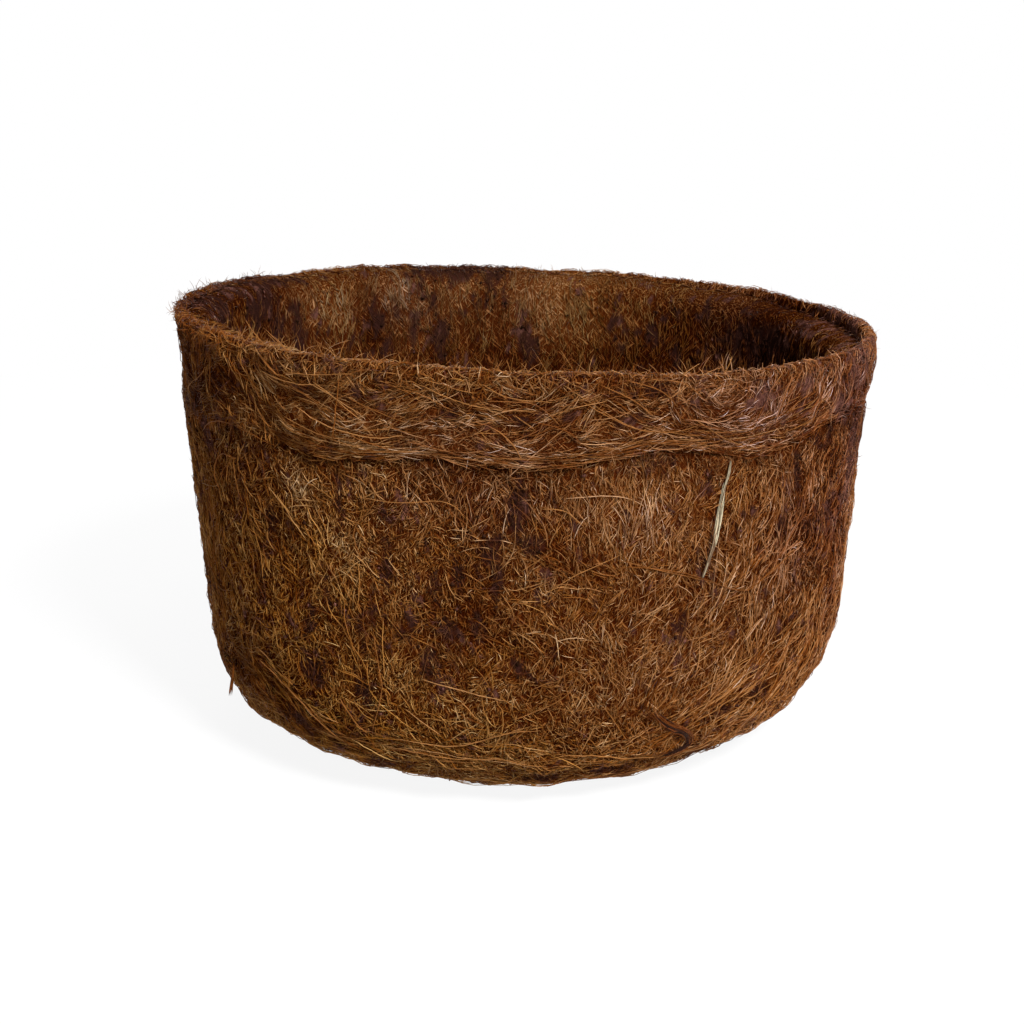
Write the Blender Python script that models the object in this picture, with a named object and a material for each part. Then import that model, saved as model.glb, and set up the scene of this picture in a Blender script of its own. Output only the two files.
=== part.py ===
import math

import bmesh
import bpy
from mathutils import Vector

# Coir pot: a round plant pot pressed from coconut fibre felt, in layers that come apart.
# Lengths are in metres and +Z is up. The origin is the middle of the flat underside,
# and -Y is the side with the pale husk sliver.

# Outside of the pot
RIM_RADIUS = 0.1253
RIM_HEIGHT = 0.1484
WALL_TAPER = math.radians(3.6)
CORNER_RADIUS = 0.044
FELT_THICKNESS = 0.012

# The top edge leans: it is this much above its mean height on one side and below it on the other
RIM_LEAN = 0.0046
RIM_LEAN_SIDE = math.radians(-167)

# The pot is pressed by hand over a former, so it is a little oval
OUT_OF_ROUND = 0.0006
OUT_OF_ROUND_SIDE = math.radians(35)

# Collar of felt wrapped round the top
COLLAR_HEIGHT = 0.0262
COLLAR_THICKNESS = 0.003
COLLAR_PROUD = 0.0007
COLLAR_SWELL = 0.0007
COLLAR_EDGE_ROUND = 0.0011
LIP_ROUND = 0.0009

# It stands out from the wall on two sides and lies almost flush between them
COLLAR_PROUD_SWING = 0.0006
COLLAR_PROUD_SIDE = math.radians(90)

# The collar's lower edge hangs in uneven swags: waves round the pot, height, start angle
COLLAR_WAVES = (
    (5, 0.0008, math.radians(138)),
    (6, 0.0016, math.radians(79)),
    (11, 0.0017, math.radians(58)),
)

# Ledge inside the collar, and the lining that drapes over it
LEDGE_DROP = 0.0010
SHOULDER_RADIUS = 0.006
LINING_THICKNESS = 0.002
LINING_RECESS = 0.0008
LINING_FLOOR_LAP = 0.010

# The ledge lies just under the lip, but dips on one side
LEDGE_DIP = 0.0040
LEDGE_DIP_SIDE = 0.0

# Round of felt in the bottom, half-lapped into the turned-in foot of the wall
BASE_RADIUS = 0.056
BASE_LAP = 0.012

# The felt is tucked in at the foot corner, where the combed band lies over it
FOOT_TUCK = 0.0015
FOOT_TUCK_SWING = 0.0014
FOOT_TUCK_SIDE = math.radians(-5)

# Combed band of long fibres round the foot corner, from one angle of the corner to another
BAND_TOP = math.radians(19)
BAND_LOW = math.radians(70)
BAND_THICKNESS = 0.0016
BAND_EDGE_SHARE = 0.35
BAND_RIDGES = 3
BAND_RIDGE_HEIGHT = 0.0005
BAND_RIDGE_WANDER = 0.35
BAND_WAVES = (
    (4, math.radians(3.5), math.radians(20)),
    (9, math.radians(2.0), math.radians(75)),
)

# Bits of coconut husk caught in the fibres.
# The sliver's path is (angle round the pot, drop below the collar's lower edge)
SLIVER_PATH = (
    (math.radians(-59.9), 0.0035),
    (math.radians(-60.9), 0.0195),
    (math.radians(-62.2), 0.0371),
)
SLIVER_WIDTH = 0.0020
SLIVER_THICKNESS = 0.0006
# The strip's path is (angle round the pot, height before the foot is tucked in)
STRIP_PATH = (
    (math.radians(-71.3), 0.0464),
    (math.radians(-69.2), 0.0361),
    (math.radians(-66.1), 0.0314),
    (math.radians(-63.1), 0.0280),
    (math.radians(-61.2), 0.0230),
    (math.radians(-62.3), 0.0198),
    (math.radians(-66.8), 0.0172),
)
STRIP_WIDTH = 0.0018
STRIP_THICKNESS = 0.0007
SPIKE_ANGLE = math.radians(-148.5)
SPIKE_HEIGHT = 0.0345
SPIKE_LENGTH = 0.0135
SPIKE_SPLAY = math.radians(8)
SPIKE_WIDTH = 0.0014
# How far before the combed band's edge husk that crosses it starts to climb
HUSK_CLIMB = math.radians(4)

# Gap left between pieces that touch
CLEARANCE = 0.0003

# Facets
ROUND_STEPS = 72
CORNER_STEPS = 8
INNER_CORNER_STEPS = 5
SHOULDER_STEPS = 3
WALL_STEPS = 3
BAND_STEPS = 12
HUSK_SIDES = 6
HUSK_STEPS_PER_SPAN = 4
SMOOTH_ANGLE = math.radians(35)


def clear_scene():
    for old in list(bpy.data.objects):
        bpy.data.objects.remove(old, do_unlink=True)


def make_material(name, colour, roughness):
    material = bpy.data.materials.new(name)
    material.use_nodes = True
    shader = material.node_tree.nodes["Principled BSDF"]
    shader.inputs["Base Color"].default_value = (*colour, 1.0)
    shader.inputs["Roughness"].default_value = roughness
    shader.inputs["Metallic"].default_value = 0.0
    return material


# Sizes that follow from the driving dimensions

CORNER_TOP = CORNER_RADIUS * (1 - math.sin(WALL_TAPER))
INNER_CORNER = CORNER_RADIUS - FELT_THICKNESS


def wall_radius(height):
    return RIM_RADIUS - COLLAR_PROUD - math.tan(WALL_TAPER) * (RIM_HEIGHT - height)


CORNER_CENTRE = wall_radius(CORNER_TOP) - CORNER_RADIUS * math.cos(WALL_TAPER)


def wall_inside(height):
    return wall_radius(height) - FELT_THICKNESS


def collar_outside(height, angle):
    swing = COLLAR_PROUD_SWING * math.cos(2 * (angle - COLLAR_PROUD_SIDE))
    return wall_radius(height) + COLLAR_PROUD + swing


def collar_inside(height, angle):
    return collar_outside(height, angle) - COLLAR_THICKNESS


def collar_seat(height, angle):
    return collar_inside(height, angle) - CLEARANCE


def ledge_drop(angle):
    # The same all round but for one side, where it dips
    return LEDGE_DROP + LEDGE_DIP * max(0.0, math.cos(angle - LEDGE_DIP_SIDE)) ** 3


def out_of_round(angle):
    lobes = math.cos(2 * (angle - OUT_OF_ROUND_SIDE))
    return 1 + lobes * OUT_OF_ROUND / RIM_RADIUS


def rim_height(angle):
    return RIM_HEIGHT + RIM_LEAN * math.cos(angle - RIM_LEAN_SIDE)


def waves(table, angle):
    return sum(size * math.cos(count * angle + start) for count, size, start in table)


def collar_edge(angle):
    return RIM_HEIGHT - COLLAR_HEIGHT + waves(COLLAR_WAVES, angle)


def wall_top(angle):
    return rim_height(angle) - ledge_drop(angle) - LINING_THICKNESS - CLEARANCE


def foot_reach(angle, turn):
    # From the foot corner's centre to the outside of the felt: the tuck is deepest halfway round
    share = (turn - WALL_TAPER) / (math.pi / 2 - WALL_TAPER)
    tuck = FOOT_TUCK + FOOT_TUCK_SWING * math.cos(angle - FOOT_TUCK_SIDE)
    return CORNER_RADIUS - tuck * math.sin(math.pi * share)


def band_top(angle):
    return BAND_TOP + waves(BAND_WAVES, angle)


def band_rise(share, angle):
    # Thickness of the combed band across its width: thin at both edges, full in the middle,
    # with ridges of fibre that wander to and fro as they run round the foot
    fullness = math.sin(math.pi * share)
    swell = BAND_THICKNESS * (BAND_EDGE_SHARE + (1 - BAND_EDGE_SHARE) * fullness)
    wander = BAND_RIDGE_WANDER * math.sin(3 * angle)
    ridge = BAND_RIDGE_HEIGHT * math.cos(2 * math.pi * (BAND_RIDGES * share + wander))
    return swell + ridge * fullness


def blend(start, end, share):
    return start + (end - start) * share


def steps_between(start, end, count):
    return [blend(start, end, index / count) for index in range(count + 1)]


def corner_point(reach, turn):
    # A point at the foot corner, by the angle below level of the way out from its centre
    return CORNER_CENTRE + reach * math.cos(turn), CORNER_RADIUS - reach * math.sin(turn)


def inside_path(angle, offset):
    # From the ledge over the shoulder, down the inside and round the corner to the floor,
    # the offset being how far the path stands off the felt
    top = wall_top(angle)
    centre_height = top - SHOULDER_RADIUS
    centre_radius = wall_inside(centre_height) + SHOULDER_RADIUS
    reach = SHOULDER_RADIUS + offset
    path = [
        (centre_radius + reach * math.cos(turn), centre_height + reach * math.sin(turn))
        for turn in steps_between(math.pi / 2, math.pi, SHOULDER_STEPS)
    ]
    inner = INNER_CORNER - offset
    turns = steps_between(WALL_TAPER, math.pi / 2, INNER_CORNER_STEPS)
    arc = [corner_point(inner, turn) for turn in turns]
    heights = steps_between(centre_height, arc[0][1], WALL_STEPS)
    path += [(wall_inside(height) - offset, height) for height in heights[1:-1]]
    return path + arc


# Profiles: for an angle round the pot, a closed loop of (radius, height)

def wall_profile(angle):
    top = wall_top(angle)
    shelf = collar_edge(angle) - CLEARANCE
    outside = [
        (collar_seat(top, angle), top),
        (collar_seat(shelf, angle), shelf),
        (wall_radius(shelf), shelf),
    ]
    heights = steps_between(shelf, CORNER_TOP, WALL_STEPS)
    outside += [(wall_radius(height), height) for height in heights[1:-1]]
    turns = steps_between(WALL_TAPER, math.pi / 2, CORNER_STEPS)
    outside += [corner_point(foot_reach(angle, turn), turn) for turn in turns]
    lap = [
        (BASE_RADIUS, 0.0),
        (BASE_RADIUS, FELT_THICKNESS / 2),
        (BASE_RADIUS + BASE_LAP, FELT_THICKNESS / 2),
        (BASE_RADIUS + BASE_LAP, FELT_THICKNESS),
    ]
    return outside + lap + inside_path(angle, 0.0)[::-1]


def lining_profile(angle):
    near = inside_path(angle, CLEARANCE)
    far = inside_path(angle, CLEARANCE + LINING_THICKNESS)
    ledge_low = near[0][1]
    ledge_high = far[0][1]
    ledge_end = collar_inside(ledge_high, angle) - LINING_RECESS
    floor_end = BASE_RADIUS + BASE_LAP - LINING_FLOOR_LAP
    near = [(ledge_end, ledge_low)] + near + [(floor_end, near[-1][1])]
    far = [(ledge_end, ledge_high)] + far + [(floor_end, far[-1][1])]
    return near + far[::-1]


def collar_profile(angle):
    top = rim_height(angle)
    low = collar_edge(angle)
    middle = blend(low, top, 0.45)
    shoulder = blend(low, top, 0.8)
    return [
        (collar_inside(low, angle), low),
        (collar_outside(low, angle) - COLLAR_EDGE_ROUND, low),
        (collar_outside(low, angle) - COLLAR_EDGE_ROUND * 0.3, low + COLLAR_EDGE_ROUND * 0.3),
        (collar_outside(low, angle), low + COLLAR_EDGE_ROUND),
        (collar_outside(middle, angle) + COLLAR_SWELL, middle),
        (collar_outside(shoulder, angle) + COLLAR_SWELL / 2, shoulder),
        (collar_outside(top, angle), top - LIP_ROUND),
        (collar_outside(top, angle) - LIP_ROUND * 0.3, top - LIP_ROUND * 0.3),
        (collar_outside(top, angle) - LIP_ROUND, top),
        (collar_inside(top, angle) + LIP_ROUND, top),
        (collar_inside(top, angle) + LIP_ROUND * 0.3, top - LIP_ROUND * 0.3),
        (collar_inside(top, angle), top - LIP_ROUND),
        (collar_inside(middle, angle), middle),
    ]


def band_profile(angle):
    near = []
    far = []
    for share in steps_between(0.0, 1.0, BAND_STEPS):
        turn = blend(band_top(angle), BAND_LOW, share)
        seat = foot_reach(angle, turn) + CLEARANCE
        near.append(corner_point(seat, turn))
        far.append(corner_point(seat + band_rise(share, angle), turn))
    return near + far[::-1]


def base_profile(angle):
    lap = FELT_THICKNESS / 2 + CLEARANCE
    return [
        (BASE_RADIUS - CLEARANCE, 0.0),
        (BASE_RADIUS - CLEARANCE, lap),
        (BASE_RADIUS + BASE_LAP - CLEARANCE, lap),
        (BASE_RADIUS + BASE_LAP - CLEARANCE, FELT_THICKNESS),
        ((BASE_RADIUS + BASE_LAP) / 2, FELT_THICKNESS),
    ]


# Solids

def place(radius, height, angle):
    radius = radius * out_of_round(angle)
    return Vector((radius * math.cos(angle), radius * math.sin(angle), height))


def add_object(name, mesh_data, material, parent):
    bmesh.ops.recalc_face_normals(mesh_data, faces=mesh_data.faces)
    mesh = bpy.data.meshes.new(name)
    mesh_data.to_mesh(mesh)
    mesh_data.free()
    mesh.materials.append(material)
    mesh.shade_smooth()
    mesh.set_sharp_from_angle(angle=SMOOTH_ANGLE)
    thing = bpy.data.objects.new(name, mesh)
    thing.parent = parent
    bpy.context.collection.objects.link(thing)
    return thing


def loft_round(profile):
    # Profiles at equal steps round the pot, bridged one to the next
    mesh_data = bmesh.new()
    rings = []
    for step in range(ROUND_STEPS):
        angle = 2 * math.pi * step / ROUND_STEPS
        rings.append([mesh_data.verts.new(place(*point, angle)) for point in profile(angle)])
    for step, ring in enumerate(rings):
        following = rings[(step + 1) % ROUND_STEPS]
        for index in range(len(ring)):
            ahead = (index + 1) % len(ring)
            mesh_data.faces.new((ring[index], ring[ahead], following[ahead], following[index]))
    return mesh_data


def loft_disc(profile):
    # The same, for a profile that is open at the pot's axis: fans of faces close it
    mesh_data = bmesh.new()
    rings = []
    for step in range(ROUND_STEPS):
        angle = 2 * math.pi * step / ROUND_STEPS
        rings.append([mesh_data.verts.new(place(*point, angle)) for point in profile(angle)])
    low = mesh_data.verts.new((0.0, 0.0, profile(0.0)[0][1]))
    high = mesh_data.verts.new((0.0, 0.0, profile(0.0)[-1][1]))
    for step, ring in enumerate(rings):
        following = rings[(step + 1) % ROUND_STEPS]
        mesh_data.faces.new((low, ring[0], following[0]))
        mesh_data.faces.new((high, following[-1], ring[-1]))
        for index in range(len(ring) - 1):
            mesh_data.faces.new((ring[index], ring[index + 1], following[index + 1], following[index]))
    return mesh_data


def outside_frame(angle, height):
    # Point and outward direction of the felt's outside at a height
    if height >= CORNER_TOP:
        turn = WALL_TAPER
        spot = (wall_radius(height), height)
    else:
        turn = math.asin((CORNER_RADIUS - height) / CORNER_RADIUS)
        spot = corner_point(foot_reach(angle, turn), turn)
    outward = Vector((math.cos(turn) * math.cos(angle), math.cos(turn) * math.sin(angle), -math.sin(turn)))
    return place(*spot, angle), outward, turn


def covering(angle, turn):
    # How far the combed band stands off the felt at an angle of the foot corner
    start = band_top(angle)
    if turn <= start or turn >= BAND_LOW:
        return 0.0
    return CLEARANCE + band_rise((turn - start) / (BAND_LOW - start), angle)


def smooth_path(points):
    # Catmull-Rom curve through the chosen points
    ends = [points[0]] + list(points) + [points[-1]]
    path = []
    for index in range(1, len(ends) - 2):
        before, start, end, after = (Vector(point) for point in ends[index - 1:index + 3])
        for step in range(HUSK_STEPS_PER_SPAN):
            t = step / HUSK_STEPS_PER_SPAN
            path.append(0.5 * (
                2 * start
                + (end - before) * t
                + (2 * before - 5 * start + 4 * end - after) * t ** 2
                + (3 * start - before - 3 * end + after) * t ** 3
            ))
    path.append(Vector(points[-1]))
    return path


def loft_husk(centres, outwards, width, thickness):
    # A flat many-sided sliver along its centres, drawn out to a point at both ends
    mesh_data = bmesh.new()
    rings = []
    last = len(centres) - 1
    for index in range(1, last):
        along = (centres[index + 1] - centres[index - 1]).normalized()
        outward = outwards[index]
        across = along.cross(outward).normalized()
        fullness = math.sin(math.pi * index / last) ** 0.4
        ring = []
        for side in range(HUSK_SIDES):
            turn = 2 * math.pi * side / HUSK_SIDES
            offset = across * math.cos(turn) * width / 2 + outward * math.sin(turn) * thickness / 2
            ring.append(mesh_data.verts.new(centres[index] + offset * fullness))
        rings.append(ring)
    tips = mesh_data.verts.new(centres[0]), mesh_data.verts.new(centres[last])
    for index in range(HUSK_SIDES):
        ahead = (index + 1) % HUSK_SIDES
        mesh_data.faces.new((tips[0], rings[0][ahead], rings[0][index]))
        mesh_data.faces.new((tips[1], rings[-1][index], rings[-1][ahead]))
        for ring, following in zip(rings, rings[1:]):
            mesh_data.faces.new((ring[index], ring[ahead], following[ahead], following[index]))
    return mesh_data


def husk_on_felt(path, width, thickness):
    centres = []
    outwards = []
    for angle, height in smooth_path(path):
        foot, outward, turn = outside_frame(angle, height)
        covered = max(covering(angle, near) for near in (turn - HUSK_CLIMB, turn, turn + HUSK_CLIMB))
        stand_off = covered + CLEARANCE + thickness / 2
        centres.append(foot + outward * stand_off)
        outwards.append(outward)
    return loft_husk(centres, outwards, width, thickness)


def spike():
    # Rooted against the felt just above the foot, hanging free where the corner turns under
    foot, outward, turn = outside_frame(SPIKE_ANGLE, SPIKE_HEIGHT)
    level_out = Vector((math.cos(SPIKE_ANGLE), math.sin(SPIKE_ANGLE), 0.0))
    root = foot + outward * (CLEARANCE + SPIKE_WIDTH / 2)
    down = level_out * math.sin(SPIKE_SPLAY) - Vector((0.0, 0.0, math.cos(SPIKE_SPLAY)))
    count = 2 * HUSK_STEPS_PER_SPAN
    centres = [root + down * SPIKE_LENGTH * share for share in steps_between(0.0, 1.0, count)]
    facing = level_out * math.cos(SPIKE_SPLAY) + Vector((0.0, 0.0, math.sin(SPIKE_SPLAY)))
    return loft_husk(centres, [facing] * len(centres), SPIKE_WIDTH, SPIKE_WIDTH)


def build_pot():
    clear_scene()
    pot = bpy.data.objects.new("coir_pot", None)
    bpy.context.collection.objects.link(pot)

    felt = make_material("coir_felt", (0.205, 0.098, 0.036), 0.9)
    add_object("wall_felt", loft_round(wall_profile), felt, pot)

    floor = make_material("floor_felt", (0.160, 0.078, 0.032), 0.9)
    add_object("base_felt", loft_disc(base_profile), floor, pot)

    lining = make_material("lining_felt", (0.115, 0.056, 0.026), 0.92)
    add_object("inner_lining", loft_round(lining_profile), lining, pot)

    collar = make_material("collar_felt", (0.230, 0.112, 0.042), 0.88)
    add_object("rim_collar", loft_round(collar_profile), collar, pot)

    combed = make_material("combed_fibre", (0.185, 0.082, 0.026), 0.8)
    add_object("foot_band", loft_round(band_profile), combed, pot)

    pale = make_material("pale_husk", (0.560, 0.430, 0.290), 0.7)
    hanging = [(angle, collar_edge(angle) - drop) for angle, drop in SLIVER_PATH]
    sliver = husk_on_felt(hanging, SLIVER_WIDTH, SLIVER_THICKNESS)
    add_object("husk_sliver", sliver, pale, pot)

    dark = make_material("dark_husk", (0.075, 0.032, 0.020), 0.45)
    strip = husk_on_felt(STRIP_PATH, STRIP_WIDTH, STRIP_THICKNESS)
    add_object("husk_strip", strip, dark, pot)

    tan = make_material("tan_husk", (0.200, 0.090, 0.035), 0.6)
    add_object("husk_spike", spike(), tan, pot)


build_pot()
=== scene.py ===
import math

import bpy
import numpy as np
from mathutils import Matrix, Vector


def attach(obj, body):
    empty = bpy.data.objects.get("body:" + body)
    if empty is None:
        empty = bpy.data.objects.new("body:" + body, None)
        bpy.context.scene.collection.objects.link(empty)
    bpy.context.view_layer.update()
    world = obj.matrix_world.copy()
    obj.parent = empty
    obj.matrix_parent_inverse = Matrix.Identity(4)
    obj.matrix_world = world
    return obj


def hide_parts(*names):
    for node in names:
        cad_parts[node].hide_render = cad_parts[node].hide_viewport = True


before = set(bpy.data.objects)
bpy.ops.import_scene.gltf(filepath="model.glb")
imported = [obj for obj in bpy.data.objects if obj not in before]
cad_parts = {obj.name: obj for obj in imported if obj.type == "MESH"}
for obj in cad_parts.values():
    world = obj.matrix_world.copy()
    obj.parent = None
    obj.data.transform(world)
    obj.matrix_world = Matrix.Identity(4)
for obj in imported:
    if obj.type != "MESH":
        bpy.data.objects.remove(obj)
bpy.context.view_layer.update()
print("frame loaded")

# Sizes of the pot, in metres, the same as its solids have. Angles run round the pot from +X,
# and -90 degrees is the front.
pot = {
    "rimRadius": 0.1253,
    "rimHeight": 0.1484,
    "rimLean": 0.0046,
    "rimLeanSide": math.radians(-167),
    "oval": 0.0006,
    "ovalSide": math.radians(35),
    "taper": math.radians(3.6),
    "corner": 0.044,
    "felt": 0.012,
    "collarDrop": 0.0262,
    "collarProud": 0.0007,
    "collarProudSwing": 0.0006,
    "collarProudSide": math.radians(90),
    "collarThick": 0.003,
    "collarSwell": 0.0007,
    "collarHollow": 2.6,
    "collarWaves": ((5, 0.0008, 138), (6, 0.0016, 79), (11, 0.0017, 58)),
    "ledgeDrop": 0.0010,
    "ledgeDip": 0.0040,
    "shoulder": 0.006,
    "lining": 0.002,
    "recess": 0.0008,
    "liningLap": 0.010,
    "base": 0.056,
    "baseLap": 0.012,
    "tuck": 0.0015,
    "tuckSwing": 0.0014,
    "tuckSide": math.radians(-5),
    "bandTop": math.radians(19),
    "bandLow": math.radians(70),
    "bandThick": 0.0016,
    "bandEdge": 0.35,
    "bandWaves": ((4, math.radians(3.5), 20), (9, math.radians(2.0), 75)),
    "bandFade": 0.10,
    "bandPast": 0.08,
    "ridges": 3,
    "ridgeHeight": 0.0005,
    "ridgeWander": 0.35,
    "gap": 0.0003,
}
taperSin = math.sin(pot["taper"])
taperCos = math.cos(pot["taper"])
quarter = math.pi / 2
cornerTurn = quarter - pot["taper"]


def wallRadius(height):
    lean = math.tan(pot["taper"]) * (pot["rimHeight"] - height)
    return pot["rimRadius"] - pot["collarProud"] - lean


cornerTop = pot["corner"] * (1 - taperSin)
cornerCentre = wallRadius(cornerTop) - pot["corner"] * taperCos


def waves(table, angle):
    return sum(size * np.cos(count * angle + math.radians(start)) for count, size, start in table)


def angleOf(points):
    return np.arctan2(points[..., 1], points[..., 0])


def radiusOf(points):
    return np.hypot(points[..., 0], points[..., 1])


def unit(vectors):
    return vectors / np.linalg.norm(vectors, axis=-1, keepdims=True)


def anyAngle(rng, count):
    return rng.uniform(-math.pi, math.pi, count)


def rimTop(angle):
    return pot["rimHeight"] + pot["rimLean"] * np.cos(angle - pot["rimLeanSide"])


def ledgeTop(angle):
    return rimTop(angle) - pot["ledgeDrop"] - pot["ledgeDip"] * np.maximum(np.cos(angle), 0) ** 3


def collarEdge(angle):
    return pot["rimHeight"] - pot["collarDrop"] + waves(pot["collarWaves"], angle)


def collarRadius(height, angle):
    swing = pot["collarProudSwing"] * np.cos(2 * (angle - pot["collarProudSide"]))
    return wallRadius(height) + pot["collarProud"] + swing


def ovalness(angle):
    return 1 + np.cos(2 * (angle - pot["ovalSide"])) * pot["oval"] / pot["rimRadius"]


def footReach(angle, level):
    # From the foot corner's centre to the outside of the felt, by the angle below level
    share = np.clip((level - pot["taper"]) / cornerTurn, 0, 1)
    tuck = pot["tuck"] + pot["tuckSwing"] * np.cos(angle - pot["tuckSide"])
    return pot["corner"] - tuck * np.sin(math.pi * share)


def bandRise(angle, level):
    # How far the combed band stands off the felt at an angle of the foot corner
    top = pot["bandTop"] + waves(pot["bandWaves"], angle)
    share = (level - top) / (pot["bandLow"] - top)
    full = np.sin(math.pi * np.clip(share, 0, 1))
    wander = pot["ridgeWander"] * np.sin(3 * angle)
    ridge = pot["ridgeHeight"] * np.cos(2 * math.pi * (pot["ridges"] * share + wander)) * full
    return pot["gap"] + pot["bandThick"] * (pot["bandEdge"] + (1 - pot["bandEdge"]) * full) + ridge


# Random but smooth fields over space: sums of plane waves, the same at each run

def waveField(seed, size, count=12):
    rng = np.random.default_rng(seed)
    ways = rng.normal(size=(count, 3))
    ways *= (2 * math.pi / size) / np.linalg.norm(ways, axis=1)[:, None]
    ways *= rng.uniform(0.6, 1.5, size=(count, 1))
    starts = rng.uniform(0, 2 * math.pi, size=count)

    def field(points):
        return np.sin(points @ ways.T + starts).sum(axis=-1) * math.sqrt(2 / count)

    return field


# The felt's unevenness, as fields and how high they rise
lumps = (
    (waveField(11, 0.050), 0.00030),
    (waveField(12, 0.018), 0.00025),
    (waveField(13, 0.007), 0.00018),
)


def relief(points):
    return sum(field(points) * depth for field, depth in lumps)


# Skins: a place on the pot from an angle and a distance along the profile. Each gives the
# point, the way out of the felt and the radius there.

def onPot(angle, radius, height, outR, outZ):
    radius = radius * ovalness(angle)
    cosA, sinA = np.cos(angle), np.sin(angle)
    point = np.stack([radius * cosA, radius * sinA, height], axis=-1)
    outward = np.stack([outR * cosA, outR * sinA, outZ + 0 * angle], axis=-1)
    return point, outward, radius


def outerSkin(angle, along):
    # From the middle of the underside, round the foot corner and up the wall
    turn = np.clip((along - cornerCentre) / pot["corner"], 0, cornerTurn)
    up = np.maximum(along - cornerCentre - pot["corner"] * cornerTurn, 0)
    reach = footReach(angle, quarter - turn)
    radius = np.minimum(along, cornerCentre) + reach * np.sin(turn) + up * taperSin
    height = pot["corner"] - reach * np.cos(turn) + up * taperCos
    return onPot(angle, radius, height, np.sin(turn), -np.cos(turn))


def outerAlong(height):
    # The distance along the outer skin at a height
    turn = np.arccos(np.clip(1 - height / pot["corner"], -1, 1))
    up = np.maximum(height - cornerTop, 0) / taperCos
    return cornerCentre + pot["corner"] * np.minimum(turn, cornerTurn) + up


def footSkin(angle, along):
    # The same, on top of the combed band
    point, outward, radius = outerSkin(angle, along)
    level = quarter - np.clip((along - cornerCentre) / pot["corner"], 0, cornerTurn)
    top = pot["bandTop"] + waves(pot["bandWaves"], angle)
    fadeIn = np.clip((level - top + pot["bandFade"]) / pot["bandFade"], 0, 1)
    fadeOut = np.clip((pot["bandLow"] + pot["bandPast"] - level) / pot["bandFade"], 0, 1)
    rise = bandRise(angle, level) * (fadeIn * fadeOut)
    return point + outward * rise[:, None], outward, radius


def collarFace(angle):
    return (rimTop(angle) - pot["collarThick"] / 2 - collarEdge(angle)) / taperCos


def collarSkin(angle, along):
    # From the collar's lower edge up its face, over the lip and down inside it
    lip = pot["collarThick"] / 2
    edge = collarEdge(angle)
    face = collarFace(angle)
    up = np.minimum(along, face)
    turn = np.clip((along - face) / lip, 0, math.pi)
    down = np.maximum(along - face - math.pi * lip, 0)
    swell = pot["collarSwell"] * np.sin(math.pi * np.clip(up / face, 0, 1))
    swell = swell * (1 - pot["collarHollow"] * np.clip(-np.cos(angle), 0, 1) ** 3)
    radius = collarRadius(edge, angle) + up * taperSin + swell + lip * (np.cos(turn) - 1)
    height = edge + up * taperCos + lip * np.sin(turn) - down
    return onPot(angle, radius, height, np.cos(turn), np.sin(turn))


liningOffset = pot["gap"] + pot["lining"]
shoulderBend = pot["shoulder"] + liningOffset
innerCorner = pot["corner"] - pot["felt"] - liningOffset


def liningLengths(angle):
    ledgeHeight = ledgeTop(angle)
    ledgeEnd = collarRadius(ledgeHeight, angle) - pot["collarThick"] - pot["recess"]
    centreHeight = ledgeHeight - liningOffset - pot["shoulder"]
    centreRadius = wallRadius(centreHeight) - pot["felt"] + pot["shoulder"]
    return ledgeHeight, ledgeEnd, ledgeEnd - centreRadius, (centreHeight - pot["corner"]) / taperCos


def liningSkin(angle, along):
    # From the ledge inside the lip, over the shoulder, down the inside and on to the floor
    ledgeHeight, ledgeEnd, ledge, drop = liningLengths(angle)
    first = np.clip((along - ledge) / shoulderBend, 0, quarter)
    down = np.clip(along - ledge - shoulderBend * quarter, 0, drop)
    cornerStart = ledge + shoulderBend * quarter + drop
    second = np.clip((along - cornerStart) / innerCorner, 0, quarter)
    inward = np.maximum(along - cornerStart - innerCorner * quarter, 0)
    radius = (ledgeEnd - np.clip(along, -1, ledge) - shoulderBend * np.sin(first) - down * taperSin
              - innerCorner * (1 - np.cos(second)) - inward)
    height = (ledgeHeight - shoulderBend * (1 - np.cos(first)) - down * taperCos
              - innerCorner * np.sin(second))
    turn = first - second
    return onPot(angle, np.maximum(radius, 0.001), height, -np.sin(turn), np.cos(turn))


def floorSkin(angle, along):
    radius = np.maximum(along, 0.0005)
    return onPot(angle, radius, pot["felt"] + 0 * angle, 0.0 * angle, 1.0)


def underSkin(angle, along):
    radius = np.maximum(along, 0.0005)
    return onPot(angle, radius, 0.0004 + 0 * angle, 0.0 * angle, -1.0)


# Shader nodes, and sockets that can be written in expressions

class Wire:
    def __init__(self, tree, socket):
        self.tree = tree
        self.socket = socket

    def math(self, operation, *values, clamp=False):
        node = self.tree.nodes.new("ShaderNodeMath")
        node.operation = operation
        node.use_clamp = clamp
        for place, value in enumerate(values):
            if isinstance(value, Wire):
                self.tree.links.new(value.socket, node.inputs[place])
            else:
                node.inputs[place].default_value = value
        return Wire(self.tree, node.outputs[0])

    def __add__(self, other):
        return self.math("ADD", self, other)

    def __radd__(self, other):
        return self.math("ADD", other, self)

    def __sub__(self, other):
        return self.math("SUBTRACT", self, other)

    def __rsub__(self, other):
        return self.math("SUBTRACT", other, self)

    def __mul__(self, other):
        return self.math("MULTIPLY", self, other)

    def __rmul__(self, other):
        return self.math("MULTIPLY", other, self)

    def clamped(self):
        return self.math("ADD", self, 0.0, clamp=True)

    def highest(self, other):
        return self.math("MAXIMUM", self, other)


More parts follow.
